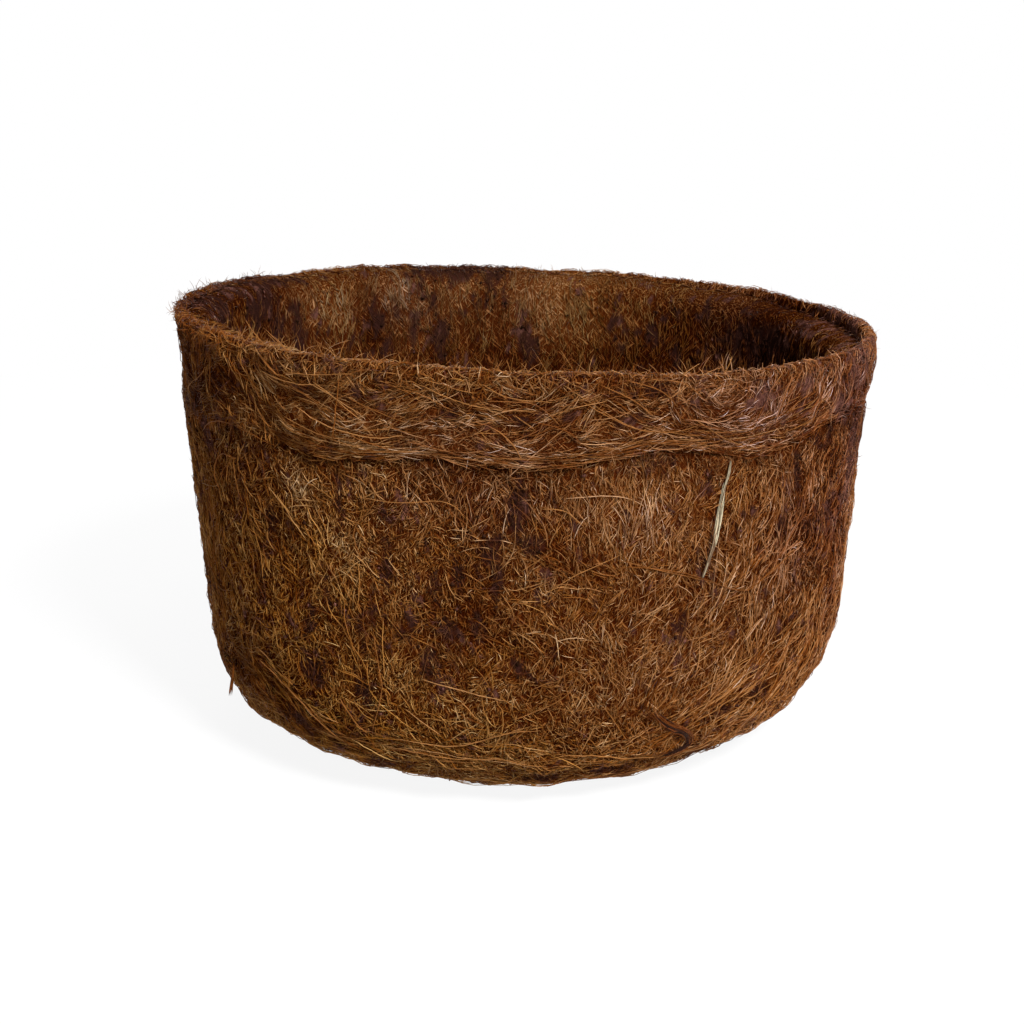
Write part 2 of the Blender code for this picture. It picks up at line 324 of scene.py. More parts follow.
class NodeTree:
    def __init__(self, tree):
        self.tree = tree

    def node(self, kind, output=0, settings=None, **values):
        node = self.tree.nodes.new("ShaderNode" + kind)
        for key, value in (settings or {}).items():
            if key == "stops":
                ramp = node.color_ramp
                while len(ramp.elements) < len(value):
                    ramp.elements.new(0.5)
                for element, (position, colour) in zip(ramp.elements, value):
                    element.position = position
                    element.color = (*colour, 1.0)
            else:
                setattr(node, key, value)
        for socket, value in values.items():
            place = int(socket[1:]) if socket[0] == "i" and socket[1:].isdigit() else socket
            if isinstance(value, Wire):
                self.tree.links.new(value.socket, node.inputs[place])
            else:
                node.inputs[place].default_value = value
        return Wire(self.tree, node.outputs[output])

    def seenDirectly(self):
        # 1 for camera, mirror and glass rays, 0 for the light that falls on the pot
        seen = self.node("LightPath", "Is Camera Ray") + self.node("LightPath", "Is Glossy Ray")
        return (seen + self.node("LightPath", "Is Transmission Ray")).clamped()


class Finish(NodeTree):
    def __init__(self, name, **constants):
        self.material = bpy.data.materials.new(name)
        self.material.use_nodes = True
        super().__init__(self.material.node_tree)
        self.shader = self.tree.nodes["Principled BSDF"]
        for socket, value in constants.items():
            self.shader.inputs[socket.replace("_", " ")].default_value = value

    def place(self):
        return self.node("TexCoord", "Object")

    def unrolled(self, where):
        # The way round the pot, the way out and the height
        x, y, z = (self.node("SeparateXYZ", part, None, Vector=where) for part in range(3))
        round = y.math("ARCTAN2", y, x) * 0.12
        out = self.node("VectorMath", "Value", {"operation": "LENGTH"},
                        i0=self.node("CombineXYZ", 0, None, X=x, Y=y))
        return self.node("CombineXYZ", 0, None, X=round, Y=out, Z=z)

    def streaked(self, where, turn, stretch):
        # Drawn out along a line that leans by turn from upright
        return self.node("Mapping", 0, {"vector_type": "TEXTURE"}, Vector=where,
                         Rotation=(0.0, turn, 0.0), Scale=(1.0, 1.0, stretch))

    def noise(self, where, scale, detail=3.0, roughness=0.55):
        return self.node("TexNoise", 0, None, Vector=where, Scale=scale, Detail=detail,
                         Roughness=roughness)

    def mix(self, share, first, second):
        return self.node("Mix", 2, {"data_type": "RGBA"}, Factor=share, i6=first, i7=second)

    def tinted(self, colour, share, tint):
        settings = {"data_type": "RGBA", "blend_type": "MULTIPLY", "clamp_result": False}
        return self.node("Mix", 2, settings, Factor=share, i6=colour, i7=tint)

    def ramp(self, value, *stops):
        return self.node("ValToRGB", 0, {"stops": stops}, Fac=value)

    def attribute(self, name, output):
        return self.node("Attribute", output, {"attribute_name": name})

    def bump(self, height, strength, distance):
        return self.node("Bump", 0, None, Height=height, Strength=strength, Distance=distance)

    def feed(self, socket, value):
        self.tree.links.new(value.socket, self.shader.inputs[socket])


# Colours of the coconut fibre from the deepest gap to the palest straw, as linear light.
# Each is (lightness, colour).
fibreRamp = (
    (0.00, (0.020, 0.0034, 0.0006)),
    (0.20, (0.062, 0.0120, 0.0017)),
    (0.42, (0.152, 0.0465, 0.0098)),
    (0.62, (0.276, 0.1220, 0.0400)),
    (0.82, (0.410, 0.2270, 0.1040)),
    (1.00, (0.600, 0.4100, 0.2500)),
)
smudgeAndShadowColour = (0.036, 0.0135, 0.0100)
pithShade = (0.115, 0.0465, 0.0345)
grainShade = (0.030, 0.0105, 0.0070)


def fibreShade(tone):
    stops, shades = zip(*fibreRamp)
    return np.stack([np.interp(tone, stops, part) for part in zip(*shades)], axis=-1)


# Patches of the felt. Each is its angle in degrees, its height, half width and half height in
# mm, its strength, and for one that leans its tilt in degrees.
# Where dust and pith clog the felt, with a few marks of painted shadow and shade among them:
smudgesAndShadows = (
    (-125, 45, 6, 7, 1), (-116, 44, 3.9, 6, 0.95), (-105, 56, 4, 6, 1),
    (-90.5, 56, 3.9, 6.5, 1, 35), (-103, 80, 2.6, 12, 0.9), (-101, 68, 3.9, 7, 0.9, -15),
    (-110.5, 92, 2.1, 16, 0.9), (-113, 74, 1.8, 9, 0.85, 5), (-91.5, 109, 4.5, 8, 1),
    (-88, 97, 4.5, 5, 1, -25), (-95, 96, 2.6, 7, 0.85, 20), (-97, 71, 2.6, 9, 0.9),
    (-131, 97, 4.5, 4, 0.7), (-117.5, 108, 1.6, 10, 1), (-137.5, 109, 3.9, 8, 0.7, 10),
    (-135, 71, 2.6, 12, 0.6), (-125, 63, 2.6, 7, 0.85, 5), (-148.5, 118, 4.5, 12, 0.7),
    (-163, 103, 5, 8, 0.7), (-108, 66, 2.6, 8, 0.8), (-62.8, 111, 1.6, 8, 0.9, 5),
    (-45, 111, 2.1, 9, 1, -12), (-46.5, 93, 1.6, 5, 0.9), (-40.5, 90, 2.1, 5, 1, -40),
    (-39.5, 119, 2.1, 3, 1, -20), (-33.5, 108, 1.8, 8, 1), (-36.5, 119, 2, 6, 1),
    (-38, 96, 2, 6, 1), (-42.5, 56.5, 9, 2, 1, -15), (-56, 32, 8, 2.5, 0.9, -10),
    (-48, 35.5, 6, 2.5, 0.85, 20), (-77, 15.5, 8, 1.8, 1, 15), (-88, 12, 9, 2.5, 0.9),
    (-64, 19, 5, 2, 0.8), (-74, 67.5, 2.6, 2, 0.7), (-66, 67, 2.6, 3, 0.7, 20),
    (-79, 92, 4, 2, 0.6, 30), (-130, 25, 14, 4, 0.6, 15), (-90.5, 136, 4.5, 2, 1, 20),
    (-76, 135.5, 4.5, 1.4, 0.9), (-84, 137, 4, 2, 0.7), (-100, 137, 5, 2.5, 0.7),
    (-105, 136, 3.9, 2, 0.6), (-113, 140, 3.9, 3, 0.6), (-121, 141, 4, 3, 0.8),
    (-73, 144, 8, 3, 0.7), (-64, 139, 4, 3, 0.6), (-142, 136, 5, 5, 0.9), (-150, 128, 4, 6, 0.9),
    (-147, 142, 5, 4, 0.8), (-107, 63, 2, 10, 0.9), (-99.5, 84, 1.8, 12, 0.85),
    (-94, 84, 2, 8, 0.8, 10), (-86, 61, 2, 5, 0.7), (-121, 74, 2, 7, 0.7),
    (-104, 96, 1.6, 9, 0.75), (-115, 62, 1.8, 9, 0.75), (160, 142, 14, 10, 1),
    (182, 147, 24, 9, 1), (165, 151, 16, 5, 0.9), (155, 136, 6, 11, 0.9), (148, 133, 5, 13, 1.2),
    (125.5, 129, 4, 10, 1.2, 5), (123, 119, 3, 5, 1), (116.5, 125, 4, 7, 1.2),
    (109.5, 122, 4.5, 8, 1.2), (111, 136, 3, 5, 1.1), (120, 132, 3, 5, 0.8),
    (89.5, 114, 5, 10, 1.2), (101, 131, 8, 8, 0.65), (95, 137, 5, 6, 0.65),
    (107, 148, 20, 7, 1.3), (97, 146, 8, 7, 1.1), (152, 151, 26, 5, 1), (68.5, 118, 3, 9, 1, 10),
    (62, 124.5, 7, 2, 1.1, 30), (60, 120.5, 6, 2, 1.1, -20), (46, 135, 4.5, 5, 1.2),
    # (8, 144) on the ledge inside the lip is dust and painted shade of the lip over the ledge
    (56, 132, 8, 5, 0.65), (30, 126, 22, 13, 0.9), (54, 114, 3, 8, 0.8), (8, 144, 34, 9, 0.4),
    # Painted shadow: the four marks from (-68, 120.8) to (-84, 119.6) lie just under the collar's
    # lower edge and darken it as the edge's shadow line
    (133, 120, 4, 6, 0.7, 10), (141, 126, 5, 4, 0.6, -20), (-68, 120.8, 8, 1.5, 0.8),
    (-120, 118.2, 7, 1.5, 0.8), (-99, 120, 5, 1.2, 0.7), (-84, 119.6, 5, 1.2, 0.6),
)
# where the loose fibres part over the dark felt:
gaps = (
    (-45, 111, 1.8, 9, 1, -12), (-36.5, 119, 1.8, 5, 1), (-38, 96, 1.6, 5, 1),
    (-46.5, 93, 1.4, 5, 0.9), (-33.5, 108, 1.4, 7, 1), (-41, 90, 1.8, 5, 0.9, -40),
    (-42.5, 56.5, 8, 1.6, 0.9, -15), (-56, 32, 7, 1.8, 0.8, -10), (-48, 35.5, 5, 1.8, 0.8, 20),
    (-77, 15.5, 8, 1.4, 0.9, 15), (-91, 57, 3, 6, 0.7, 35), (-126, 46, 4, 5, 0.7),
    (-117, 44, 3, 5, 0.7), (-98, 73, 1.6, 8, 0.7), (-74, 67.5, 2, 2, 0.7),
    (-104, 82, 1.4, 7, 0.6), (-111, 92, 1.4, 9, 0.6), (-88, 98, 3, 3, 0.6, -25),
    (-131, 97, 3, 3, 0.6),
)
# where pith shows, grey brown:
pithPatches = (
    (-26, 139, 15, 12, 1.1), (-22, 104, 10, 22, 1.1), (-31, 84, 7, 10, 1, 35),
    (-34, 128, 10, 6, 0.9, 20), (-44, 141, 9, 5, 0.75), (-55, 139, 9, 5, 0.66),
    (-49, 131, 8, 4, 0.6, 20), (8, 144, 32, 9, 0.85), (-14, 141, 20, 8, 0.7),
    (34, 148, 26, 4, 0.6), (-149, 120, 4, 9, 0.6), (166, 150, 14, 5, 0.6), (184, 148, 16, 6, 0.5),
    (-47, 105, 2, 9, 0.7, -12), (-43, 57, 9, 2.5, 0.6, -15), (-64, 112, 2, 6, 0.7),
)
# where the felt is lighter, or darker if the strength is negative:
tonePatches = (
    (-124.5, 110, 6, 7, 0.27), (-118, 91, 6, 8, 0.12), (-140, 65, 6, 7, 0.13),
    (-114, 84, 14, 32, 0.07), (-132, 90, 12, 16, -0.05), (-78, 108, 22, 8, 0.05),
    (-151, 150, 22, 8, -0.08), (178, 150, 40, 9, -0.16), (-70, 84, 46, 46, 0.07),
    # Painted light: (-88, 14) lightens the foot at the front, in place of more lamp light there
    (-74, 104, 26, 12, 0.05), (-101, 36, 34, 14, 0.05), (-88, 14, 60, 7, 0.04),
    (-126, 23, 16, 11, -0.05), (-58, 44, 28, 14, 0.06), (-97, 78, 10, 20, -0.08),
    (-138, 30, 30, 10, -0.1, 20), (-152, 80, 24, 60, -0.07), (-38, 88, 13, 26, -0.14),
    (-165, 135, 34, 24, -0.12), (-26, 92, 14, 40, -0.26), (-22, 92, 5, 7, 0.24),
    (-57, 127, 10, 5, 0.13), (-45, 131, 9, 8, -0.06), (-74, 75, 18, 13, -0.06),
    (-85, 57, 7, 7, -0.05), (-84, 97, 10, 8, -0.09), (-72, 112, 14, 5, 0.05),
    (-46, 74, 8, 6, 0.06), (-32, 86, 8, 12, -0.08), (-107, 99, 12, 14, 0.04),
    (-58, 112, 6, 8, 0.06), (-81, 144, 20, 7, -0.11), (-110, 131, 22, 9, 0.11),
    (-144, 144, 16, 6, -0.06), (-100, 127, 26, 5, 0.05), (-120, 127, 12, 5, 0.04),
    (-28, 138, 20, 14, -0.09), (-142, 140, 22, 12, -0.1), (-50, 66, 24, 26, -0.04),
    (-60, 95, 24, 22, -0.04), (-42, 30, 40, 16, -0.03), (80, 132, 17, 20, 0.16),
    (88, 140, 14, 8, 0.09), (140, 137, 24, 14, 0.13), (127, 125, 8, 14, -0.18),
    (119, 140, 9, 6, 0.18), (62, 139, 14, 9, 0.04), (101, 128, 12, 14, -0.04),
    # Painted shade: (28, 127) and (-4, 122) darken the inside on the right, which faces away from
    # the key lamp
    (52, 126, 14, 16, -0.12), (28, 127, 25, 17, -0.36), (58, 120, 14, 14, -0.07),
    (60, 109, 25, 6, -0.09), (145, 120, 20, 14, -0.07), (106, 140, 8, 9, 0.09),
    (115, 129, 5, 8, 0.06), (-4, 122, 34, 17, -0.3), (157, 136, 16, 20, -0.14),
    (95, 149, 60, 3, -0.06), (90, 108, 80, 9, -0.15), (104, 137, 7, 10, 0.1),
    (92, 131, 6, 10, 0.07),
)
# and where it is golden, or greyer if the strength is negative
huePatches = (
    (-128, 62, 44, 50, 0.8), (-104, 30, 50, 22, 0.55), (-76, 14, 40, 12, 0.35),
    (-130, 20, 30, 14, 0.5), (-150, 100, 30, 60, 0.4), (-96, 112, 24, 12, -0.5),
    # The greyer patches on the outside right, (-54, 134), (-42, 92), (-30, 134) and (-24, 92), are
    # the grey of the pith there and partly painted sheen of the key lamp on the lit side
    (-72, 108, 20, 14, -0.2), (-97, 130, 34, 10, -0.5), (-54, 134, 28, 14, -0.9),
    (-88, 62, 26, 34, 0.15), (-152, 55, 14, 26, 0.4), (-42, 92, 18, 24, -0.9),
    (-30, 134, 24, 16, -1.2), (-24, 92, 14, 50, -1), (80, 132, 20, 18, 0.25),
    (120, 134, 22, 14, -1), (152, 136, 18, 14, -0.8), (92, 132, 24, 20, -0.5),
    (38, 130, 20, 20, -1),
)


def scatteredSmudges(seed, count):
    # More smudges round the sides and back
    rng = np.random.default_rng(seed)
    ranges = ((-15, 205), (20, 118), (2, 5), (3, 14), (-30, 30), (0.6, 1.0))
    side, height, wide, tall, tilt, strength = (rng.uniform(*ends, count) for ends in ranges)
    return tuple(zip(side, height, wide, tall, strength, tilt))


def patchField(patches):
    table = np.array([(*patch, 0)[:6] for patch in patches])
    side, tilt = np.radians(table[:, 0]), np.radians(table[:, 5])
    height, wide, tall = table[:, 1:4].T / 1000
    cosT, sinT = np.cos(tilt), np.sin(tilt)

    def field(points, combine):
        angle, reach = angleOf(points), radiusOf(points)
        found = np.zeros(angle.shape)
        for index in range(len(table)):
            turn = (angle - side[index] + math.pi) % (2 * math.pi) - math.pi
            across = turn * reach
            up = points[..., 2] - height[index]
            wider = (across * cosT[index] - up * sinT[index]) / wide[index]
            taller = (across * sinT[index] + up * cosT[index]) / tall[index]
            found = combine(found, table[index, 4] * np.exp(-(wider ** 2 + taller ** 2)))
        return found

    return field


outsideSmudgesAndShadows = patchField(smudgesAndShadows + scatteredSmudges(61, 46))
outsideGaps = patchField(gaps)
outsidePith = patchField(pithPatches)
outsideTone = patchField(tonePatches)
outsideHue = patchField(huePatches)
# What makes a patch's edge ragged: each a field and how much of it
grains = (
    (waveField(21, 0.012), 0.16),
    (waveField(22, 0.0045), 0.20),
    (waveField(23, 0.0022), 0.16),
)
runs = waveField(24, 0.020)


def ragged(found, points, floor):
    edge = sum(share * field(points) for field, share in grains)
    return np.clip((found + edge - floor) * 2.5, 0, 1)


def smudgeAndShadowAt(points):
    # The marked smudges and painted shadows, and stains that run down the felt, most of them on the
    # left
    angle = angleOf(points)
    inside = radiusOf(points) < wallRadius(points[..., 2]) - pot["felt"] / 2
    shown = np.where(inside, np.clip(np.sin(angle), 0, 1), np.clip(-1.3 * np.sin(angle), 0, 1))
    stains = 0.26 * runs(points * np.array([1.0, 1.0, 0.28])) + 0.05 - 0.80 * shown
    return ragged(np.maximum(outsideSmudgesAndShadows(points, np.maximum), stains), points, 0.34)


def pithAt(points):
    return ragged(outsidePith(points, np.maximum) + 0.12 * runs(points), points, 0.40)


def toneAt(points):
    return outsideTone(points, np.add)


def hueAt(points):
    return np.clip(outsideHue(points, np.add), -1.9, 1.2)


# Felt layers: a closed ring spun from its cross-section, then moved to the uneven outline

# How the felt between the fibres looks. Streaks are the three ways that matted fibre lies: how
# far it leans from upright, and how fine it is.
feltLook = {
    "streaks": ((-0.75, 2300.0), (0.10, 2500.0), (0.85, 2400.0)),
    "stretch": 12.0,
    "ownStretch": 16.0,
    "drift": (0.004, 0.0, 0.004),
    # gapLevel and gapEdge set the dark gaps between the streaks, painted shade between the felt's
    # fibres; dim darkens the felt's colours as painted shade under the loose fibres
    "gapLevel": 0.54,
    "gapEdge": 4.6,
    "strandTone": 0.46,
    "patchTone": 0.20,
    "middleTone": 0.42,
    "dim": 0.8,
    "golden": (1.0, 0.87, 0.56, 1.0),
    "grey": (0.95, 1.06, 1.6, 1.0),
    "smudge": 0.85,
    "smudgeAndShadowDim": 0.7,
    "bump": 0.0006,
}


def feltFinish(name, lightness):
    # The felt between the loose fibres: crossing streaks with dark gaps of painted shade between
    # them, smudges, painted shadow and pith, in colours dimmed as painted shade under the loose
    # fibres
    finish = Finish(name, Roughness=0.9, Specular_IOR_Level=0.0)
    where = finish.place()
    unrolled = finish.unrolled(where)
    drift = finish.noise(where, 70.0, 2.0)
    bent = finish.node("VectorMath", 0, {"operation": "MULTIPLY_ADD"},
                       i0=drift, i1=feltLook["drift"], i2=unrolled)
    streaks = []
    for turn, scale in feltLook["streaks"]:
        along = finish.streaked(bent, turn, feltLook["stretch"])
        own = finish.streaked(bent, turn + 0.02, feltLook["ownStretch"])
        own = finish.noise(own, scale * 0.45, 1.0)
        streaks.append(finish.noise(along, scale, 0.5) + (own - 0.5) * 0.5)
    highest = streaks[0].highest(streaks[1]).highest(streaks[2])
    # Painted shade: the gaps between the streaks go dark
    strands = ((highest - feltLook["gapLevel"]) * feltLook["gapEdge"]).clamped()
    patches = finish.noise(where, 60.0, 3.0)
    level = (strands * feltLook["strandTone"] + (patches - 0.5) * feltLook["patchTone"]
             + (lightness - feltLook["middleTone"]) + finish.attribute("tone", "Fac"))
    # Painted shade: the felt takes the fibre colours dimmed, as it lies under the loose fibres
    dim = ((stop, tuple(feltLook["dim"] * part for part in shade)) for stop, shade in fibreRamp)
    plainShade = finish.ramp(level.clamped(), *dim)
    hue = finish.attribute("hue", "Fac")
    golden = finish.tinted(plainShade, hue.clamped(), feltLook["golden"])
    colour = finish.tinted(golden, (hue * -1.0).clamped(), feltLook["grey"])
    speckle = finish.noise(where, 500.0, 3.0)
    smudge = ((finish.attribute("smudge", "Fac") - 0.25) * 1.5 + (speckle - 0.5) * 0.9).clamped()
    dustAndShadowColour = (*(feltLook["smudgeAndShadowDim"] * part for part in smudgeAndShadowColour), 1.0)
    dustAndShadow = finish.mix(smudge * feltLook["smudge"], colour, dustAndShadowColour)
    pith = ((finish.attribute("pith", "Fac") - 0.25) * 1.6 + (speckle - 0.5) * 1.0).clamped()
    grainy = finish.noise(where, 800.0, 3.0) * 0.6 + finish.noise(where, 170.0, 3.0) * 0.7 - 0.15
    grain = finish.ramp(grainy, (0.30, grainShade), (0.62, pithShade))
    finish.feed("Base Color", finish.mix(pith, dustAndShadow, grain))
    high = strands * (1 - 0.6 * pith) + speckle * 0.3
    finish.feed("Normal", finish.bump(high, 1.0, feltLook["bump"]))
    return finish.material


def deselect():
    if bpy.context.object and bpy.context.object.mode != "OBJECT":
        bpy.ops.object.mode_set(mode="OBJECT")
    bpy.ops.object.select_all(action="DESELECT")


feltSink = 0.0004


def spinSection(name, section, turns):
    # section is a closed loop of (radius, height)
    deselect()
    bpy.ops.mesh.primitive_circle_add(vertices=len(section), radius=0.01)
    piece = bpy.context.object
    piece.name = name
    piece.data.name = name
    for vertex, (radius, height) in zip(piece.data.vertices, section):
        vertex.co = (radius, 0.0, height)
    bpy.ops.object.mode_set(mode="EDIT")
    bpy.ops.mesh.select_all(action="SELECT")
    bpy.ops.mesh.spin(steps=turns, angle=2 * math.pi, center=(0, 0, 0), axis=(0, 0, 1))
    bpy.ops.mesh.select_all(action="SELECT")
    bpy.ops.mesh.remove_doubles(threshold=0.00002)
    bpy.ops.mesh.normals_make_consistent(inside=False)
    bpy.ops.object.mode_set(mode="OBJECT")
    return piece


def meshPoints(mesh):
    found = np.empty(len(mesh.vertices) * 3, np.float32)
    mesh.vertices.foreach_get("co", found)
    return found.reshape(-1, 3).astype(float)


def markStainsAndShading(mesh, places):
    for name, field in (("smudge", smudgeAndShadowAt), ("pith", pithAt), ("tone", toneAt), ("hue", hueAt)):
        layer = mesh.attributes.new(name, "FLOAT", "POINT")
        layer.data.foreach_set("value", field(places).astype(np.float32))


def dressFelt(piece, place, finish, node):
    piece.data.vertices.foreach_set("co", place.astype(np.float32).ravel())
    markStainsAndShading(piece.data, place)
    piece.data.update()
    piece.data.materials.append(finish)
    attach(piece, "root")
    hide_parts(node)
    print("felt", piece.name, len(piece.data.polygons))


def feltRing(name, sectionAt, turns, finish, felted, node):
    # sectionAt(angle) gives radius, height and outward direction of each point of the section
    mean = [np.asarray(part, float).ravel() for part in sectionAt(np.array([quarter]))]
    piece = spinSection(name, list(zip(mean[0], mean[1])), turns)
    points = meshPoints(piece.data)
    angle = angleOf(points)
    spot = np.stack([radiusOf(points), points[:, 2]], axis=1)
    section = np.stack([mean[0], mean[1]], axis=1)
    index = np.array([np.argmin(((section - one) ** 2).sum(axis=1)) for one in spot])
    radius, height, outR, outZ = (part[np.arange(len(angle)), index] for part in sectionAt(angle))
    place, outward, _ = onPot(angle, radius, height, outR, outZ)
    # The felt lies a little below its solid's face, so that its fibres don't stand far above it
    place = place + outward * ((relief(place) - feltSink) * felted[index])[:, None]
    place[:, 2] = np.maximum(place[:, 2], 0.0)
    dressFelt(piece, place, finish, node)
    bpy.ops.object.shade_smooth()


def sectionFrom(skin, angle, spots):
    # spots are distances along a skin, one for each point of the section
    rows = [skin(angle, spot + 0 * angle) for spot in spots]
    radius = np.stack([radiusOf(row[0]) / ovalness(angle) for row in rows], axis=1)
    height = np.stack([row[0][:, 2] for row in rows], axis=1)
    outR = np.stack([row[1][:, 0] * np.cos(angle) + row[1][:, 1] * np.sin(angle) for row in rows],
                    axis=1)
    outZ = np.stack([row[1][:, 2] for row in rows], axis=1)
    return [radius, height, outR, outZ]


def joined(*sections):
    return [np.concatenate(parts, axis=1) for parts in zip(*sections)]


def plain(angle, *spots):
    # Section points given outright as (radius, height), which stay hidden between the layers
    radius = np.stack([spot[0] + 0 * angle for spot in spots], axis=1)
    height = np.stack([spot[1] + 0 * angle for spot in spots], axis=1)
    return [radius, height, np.zeros_like(radius), np.zeros_like(radius)]


wall = {"turns": 420, "rows": 44}


def wallSection(angle):
    edge = collarEdge(angle) - pot["gap"]
    top = ledgeTop(angle) - liningOffset
    start = outerAlong(edge)
    low = pot["base"]
    spots = [start + (low - start) * step / wall["rows"] for step in range(wall["rows"] + 1)]
    inner = pot["corner"] - pot["felt"]
    turns = [quarter * (1 - step / 6) for step in range(7)]
    half = pot["felt"] / 2
    lap = pot["base"] + pot["baseLap"]
    arc = [(cornerCentre + inner * math.cos(turn), pot["corner"] - inner * math.sin(turn))
           for turn in turns]
    shoulderHeight = top - pot["shoulder"]
    shoulderRadius = wallRadius(shoulderHeight) - pot["felt"] + pot["shoulder"]
    bends = [math.pi - quarter * step / 3 for step in range(4)]
    bend = [(shoulderRadius + pot["shoulder"] * math.cos(turn),
             shoulderHeight + pot["shoulder"] * math.sin(turn)) for turn in bends]
    seat = pot["collarThick"] + pot["gap"]
    inside = plain(angle, (low, half), (lap, half), (lap, pot["felt"]), *arc, *bend,
                   (collarRadius(top, angle) - seat, top), (collarRadius(edge, angle) - seat, edge))
    return joined(sectionFrom(outerSkin, angle, spots), inside)


wallFelted = np.array([1.0] * (wall["rows"] + 1) + [0.0] * 16)
feltRing("wallFelt", wallSection, wall["turns"], feltFinish("wallFelt", 0.46), wallFelted,
         "wall_felt")


collar = {"turns": 420, "rows": 16, "start": 0.03, "lipRows": 6, "tail": (0.003, 0.006)}


def collarSection(angle):
    face = collarFace(angle)
    rows = collar["rows"]
    spots = [face * (collar["start"] + 0.97 * step / rows) for step in range(rows + 1)]
    lip = pot["collarThick"] / 2
    lipRows = collar["lipRows"]
    spots += [face + math.pi * lip * step / lipRows for step in range(1, lipRows + 1)]
    spots += [face + math.pi * lip + past for past in collar["tail"]]
    edge = collarEdge(angle)
    inside = collarRadius(edge, angle) - pot["collarThick"]
    return joined(sectionFrom(collarSkin, angle, spots),
                  plain(angle, (inside, edge), (inside + 0.6 * pot["collarThick"], edge)))


collarFelted = np.array([1.0] * (collar["rows"] + 1) + [0.7] * collar["lipRows"] + [0, 0, 0, 0.3])
feltRing("collarFelt", collarSection, collar["turns"], feltFinish("collarFelt", 0.50), collarFelted,
         "rim_collar")


lining = {"turns": 360, "rows": 46, "back": (1.0, 0.8, 0.6, 0.3, 0.12, 0.0)}


def liningSection(angle):
    _, _, ledge, drop = liningLengths(angle)
    floorEnd = pot["base"] + pot["baseLap"] - pot["liningLap"]
    whole = ledge + shoulderBend * quarter + drop + innerCorner * quarter + cornerCentre - floorEnd
    rows = lining["rows"]
    skin = sectionFrom(liningSkin, angle, [whole * step / rows for step in range(rows + 1)])
    back = []
    for share in lining["back"]:
        spot = sectionFrom(liningSkin, angle, [whole * share])
        back.append((spot[0][:, 0] - spot[2][:, 0] * pot["lining"],
                     spot[1][:, 0] - spot[3][:, 0] * pot["lining"]))
    return joined(skin, plain(angle, *back))


liningFelted = np.array([1.0] * (lining["rows"] + 1) + [0.0] * len(lining["back"]))
feltRing("liningFelt", liningSection, lining["turns"], feltFinish("liningFelt", 0.54), liningFelted,
         "inner_lining")


band = {"turns": 420, "rows": 14}


def bandSection(angle):
    top = pot["bandTop"] + waves(pot["bandWaves"], angle)
    near, far = [], []
    for step in range(band["rows"] + 1):
        level = top + (pot["bandLow"] - top) * step / band["rows"]
        for rows, lift in ((far, bandRise(angle, level)), (near, pot["gap"])):
            reach = footReach(angle, level) + lift
            rows.append((cornerCentre + reach * np.cos(level),
                         pot["corner"] - reach * np.sin(level),
                         np.cos(level), -np.sin(level)))
    rows = far + near[::-1]
    return [np.stack([row[part] + 0 * angle for row in rows], axis=1) for part in range(4)]


bandFelted = np.array([1.0] * (band["rows"] + 1) + [0.0] * (band["rows"] + 1))
feltRing("combedBand", bandSection, band["turns"], feltFinish("combedFelt", 0.46), bandFelted,
         "foot_band")


base = {"radius": 0.0677, "turns": 120, "rings": 14}


def makeBase():
    # The round of felt in the bottom: a disc in rings, roughened on its upper face
    deselect()
    lap = pot["base"] - pot["gap"]
    bpy.ops.mesh.primitive_circle_add(vertices=base["turns"], radius=lap, fill_type="NGON")
    piece = bpy.context.object
    piece.name = "baseFelt"
    bpy.ops.object.mode_set(mode="EDIT")
    bpy.ops.mesh.select_all(action="SELECT")
    half = pot["felt"] / 2 + pot["gap"]
    wide = base["radius"] / lap
    bpy.ops.mesh.extrude_region_move(TRANSFORM_OT_translate={"value": (0, 0, half)})
    bpy.ops.mesh.extrude_region_move(TRANSFORM_OT_translate={"value": (0, 0, 0)})
    bpy.ops.transform.resize(value=(wide, wide, 1))
    bpy.ops.mesh.extrude_region_move(TRANSFORM_OT_translate={"value": (0, 0, pot["felt"] - half)})
    for _ in range(base["rings"]):
        bpy.ops.mesh.inset(thickness=base["radius"] / (base["rings"] + 1))
    bpy.ops.mesh.select_all(action="SELECT")
    bpy.ops.mesh.normals_make_consistent(inside=False)
    bpy.ops.object.mode_set(mode="OBJECT")
    place = meshPoints(piece.data)
    top = place[:, 2] > pot["felt"] - 0.0001
    place[top, 2] += relief(place[top]) * 0.8
    dressFelt(piece, place, feltFinish("floorFelt", 0.40), "base_felt")
    bpy.ops.object.shade_smooth_by_angle(angle=math.radians(40))


makeBase()


# Loose fibres: thin three-sided strands, each a closed body that lies along a skin

def fibreFinish(name, roughness):
    # One loose fibre: its own tint, a little darker and lighter along its length
    finish = Finish(name, Roughness=roughness, Specular_IOR_Level=0.06,
                    Specular_Tint=(1.0, 0.72, 0.45, 1.0))
    uneven = finish.noise(finish.place(), 650.0, 2.0)
    tint = finish.attribute("tint", "Color")
    darker = finish.node("HueSaturation", 0, None, Color=tint, Saturation=1.05, Value=0.72)
    finish.feed("Base Color", finish.mix((uneven * 2.0 - 0.5).clamped(), darker, tint))
    return finish.material


looseFibre = fibreFinish("looseFibre", 0.5)


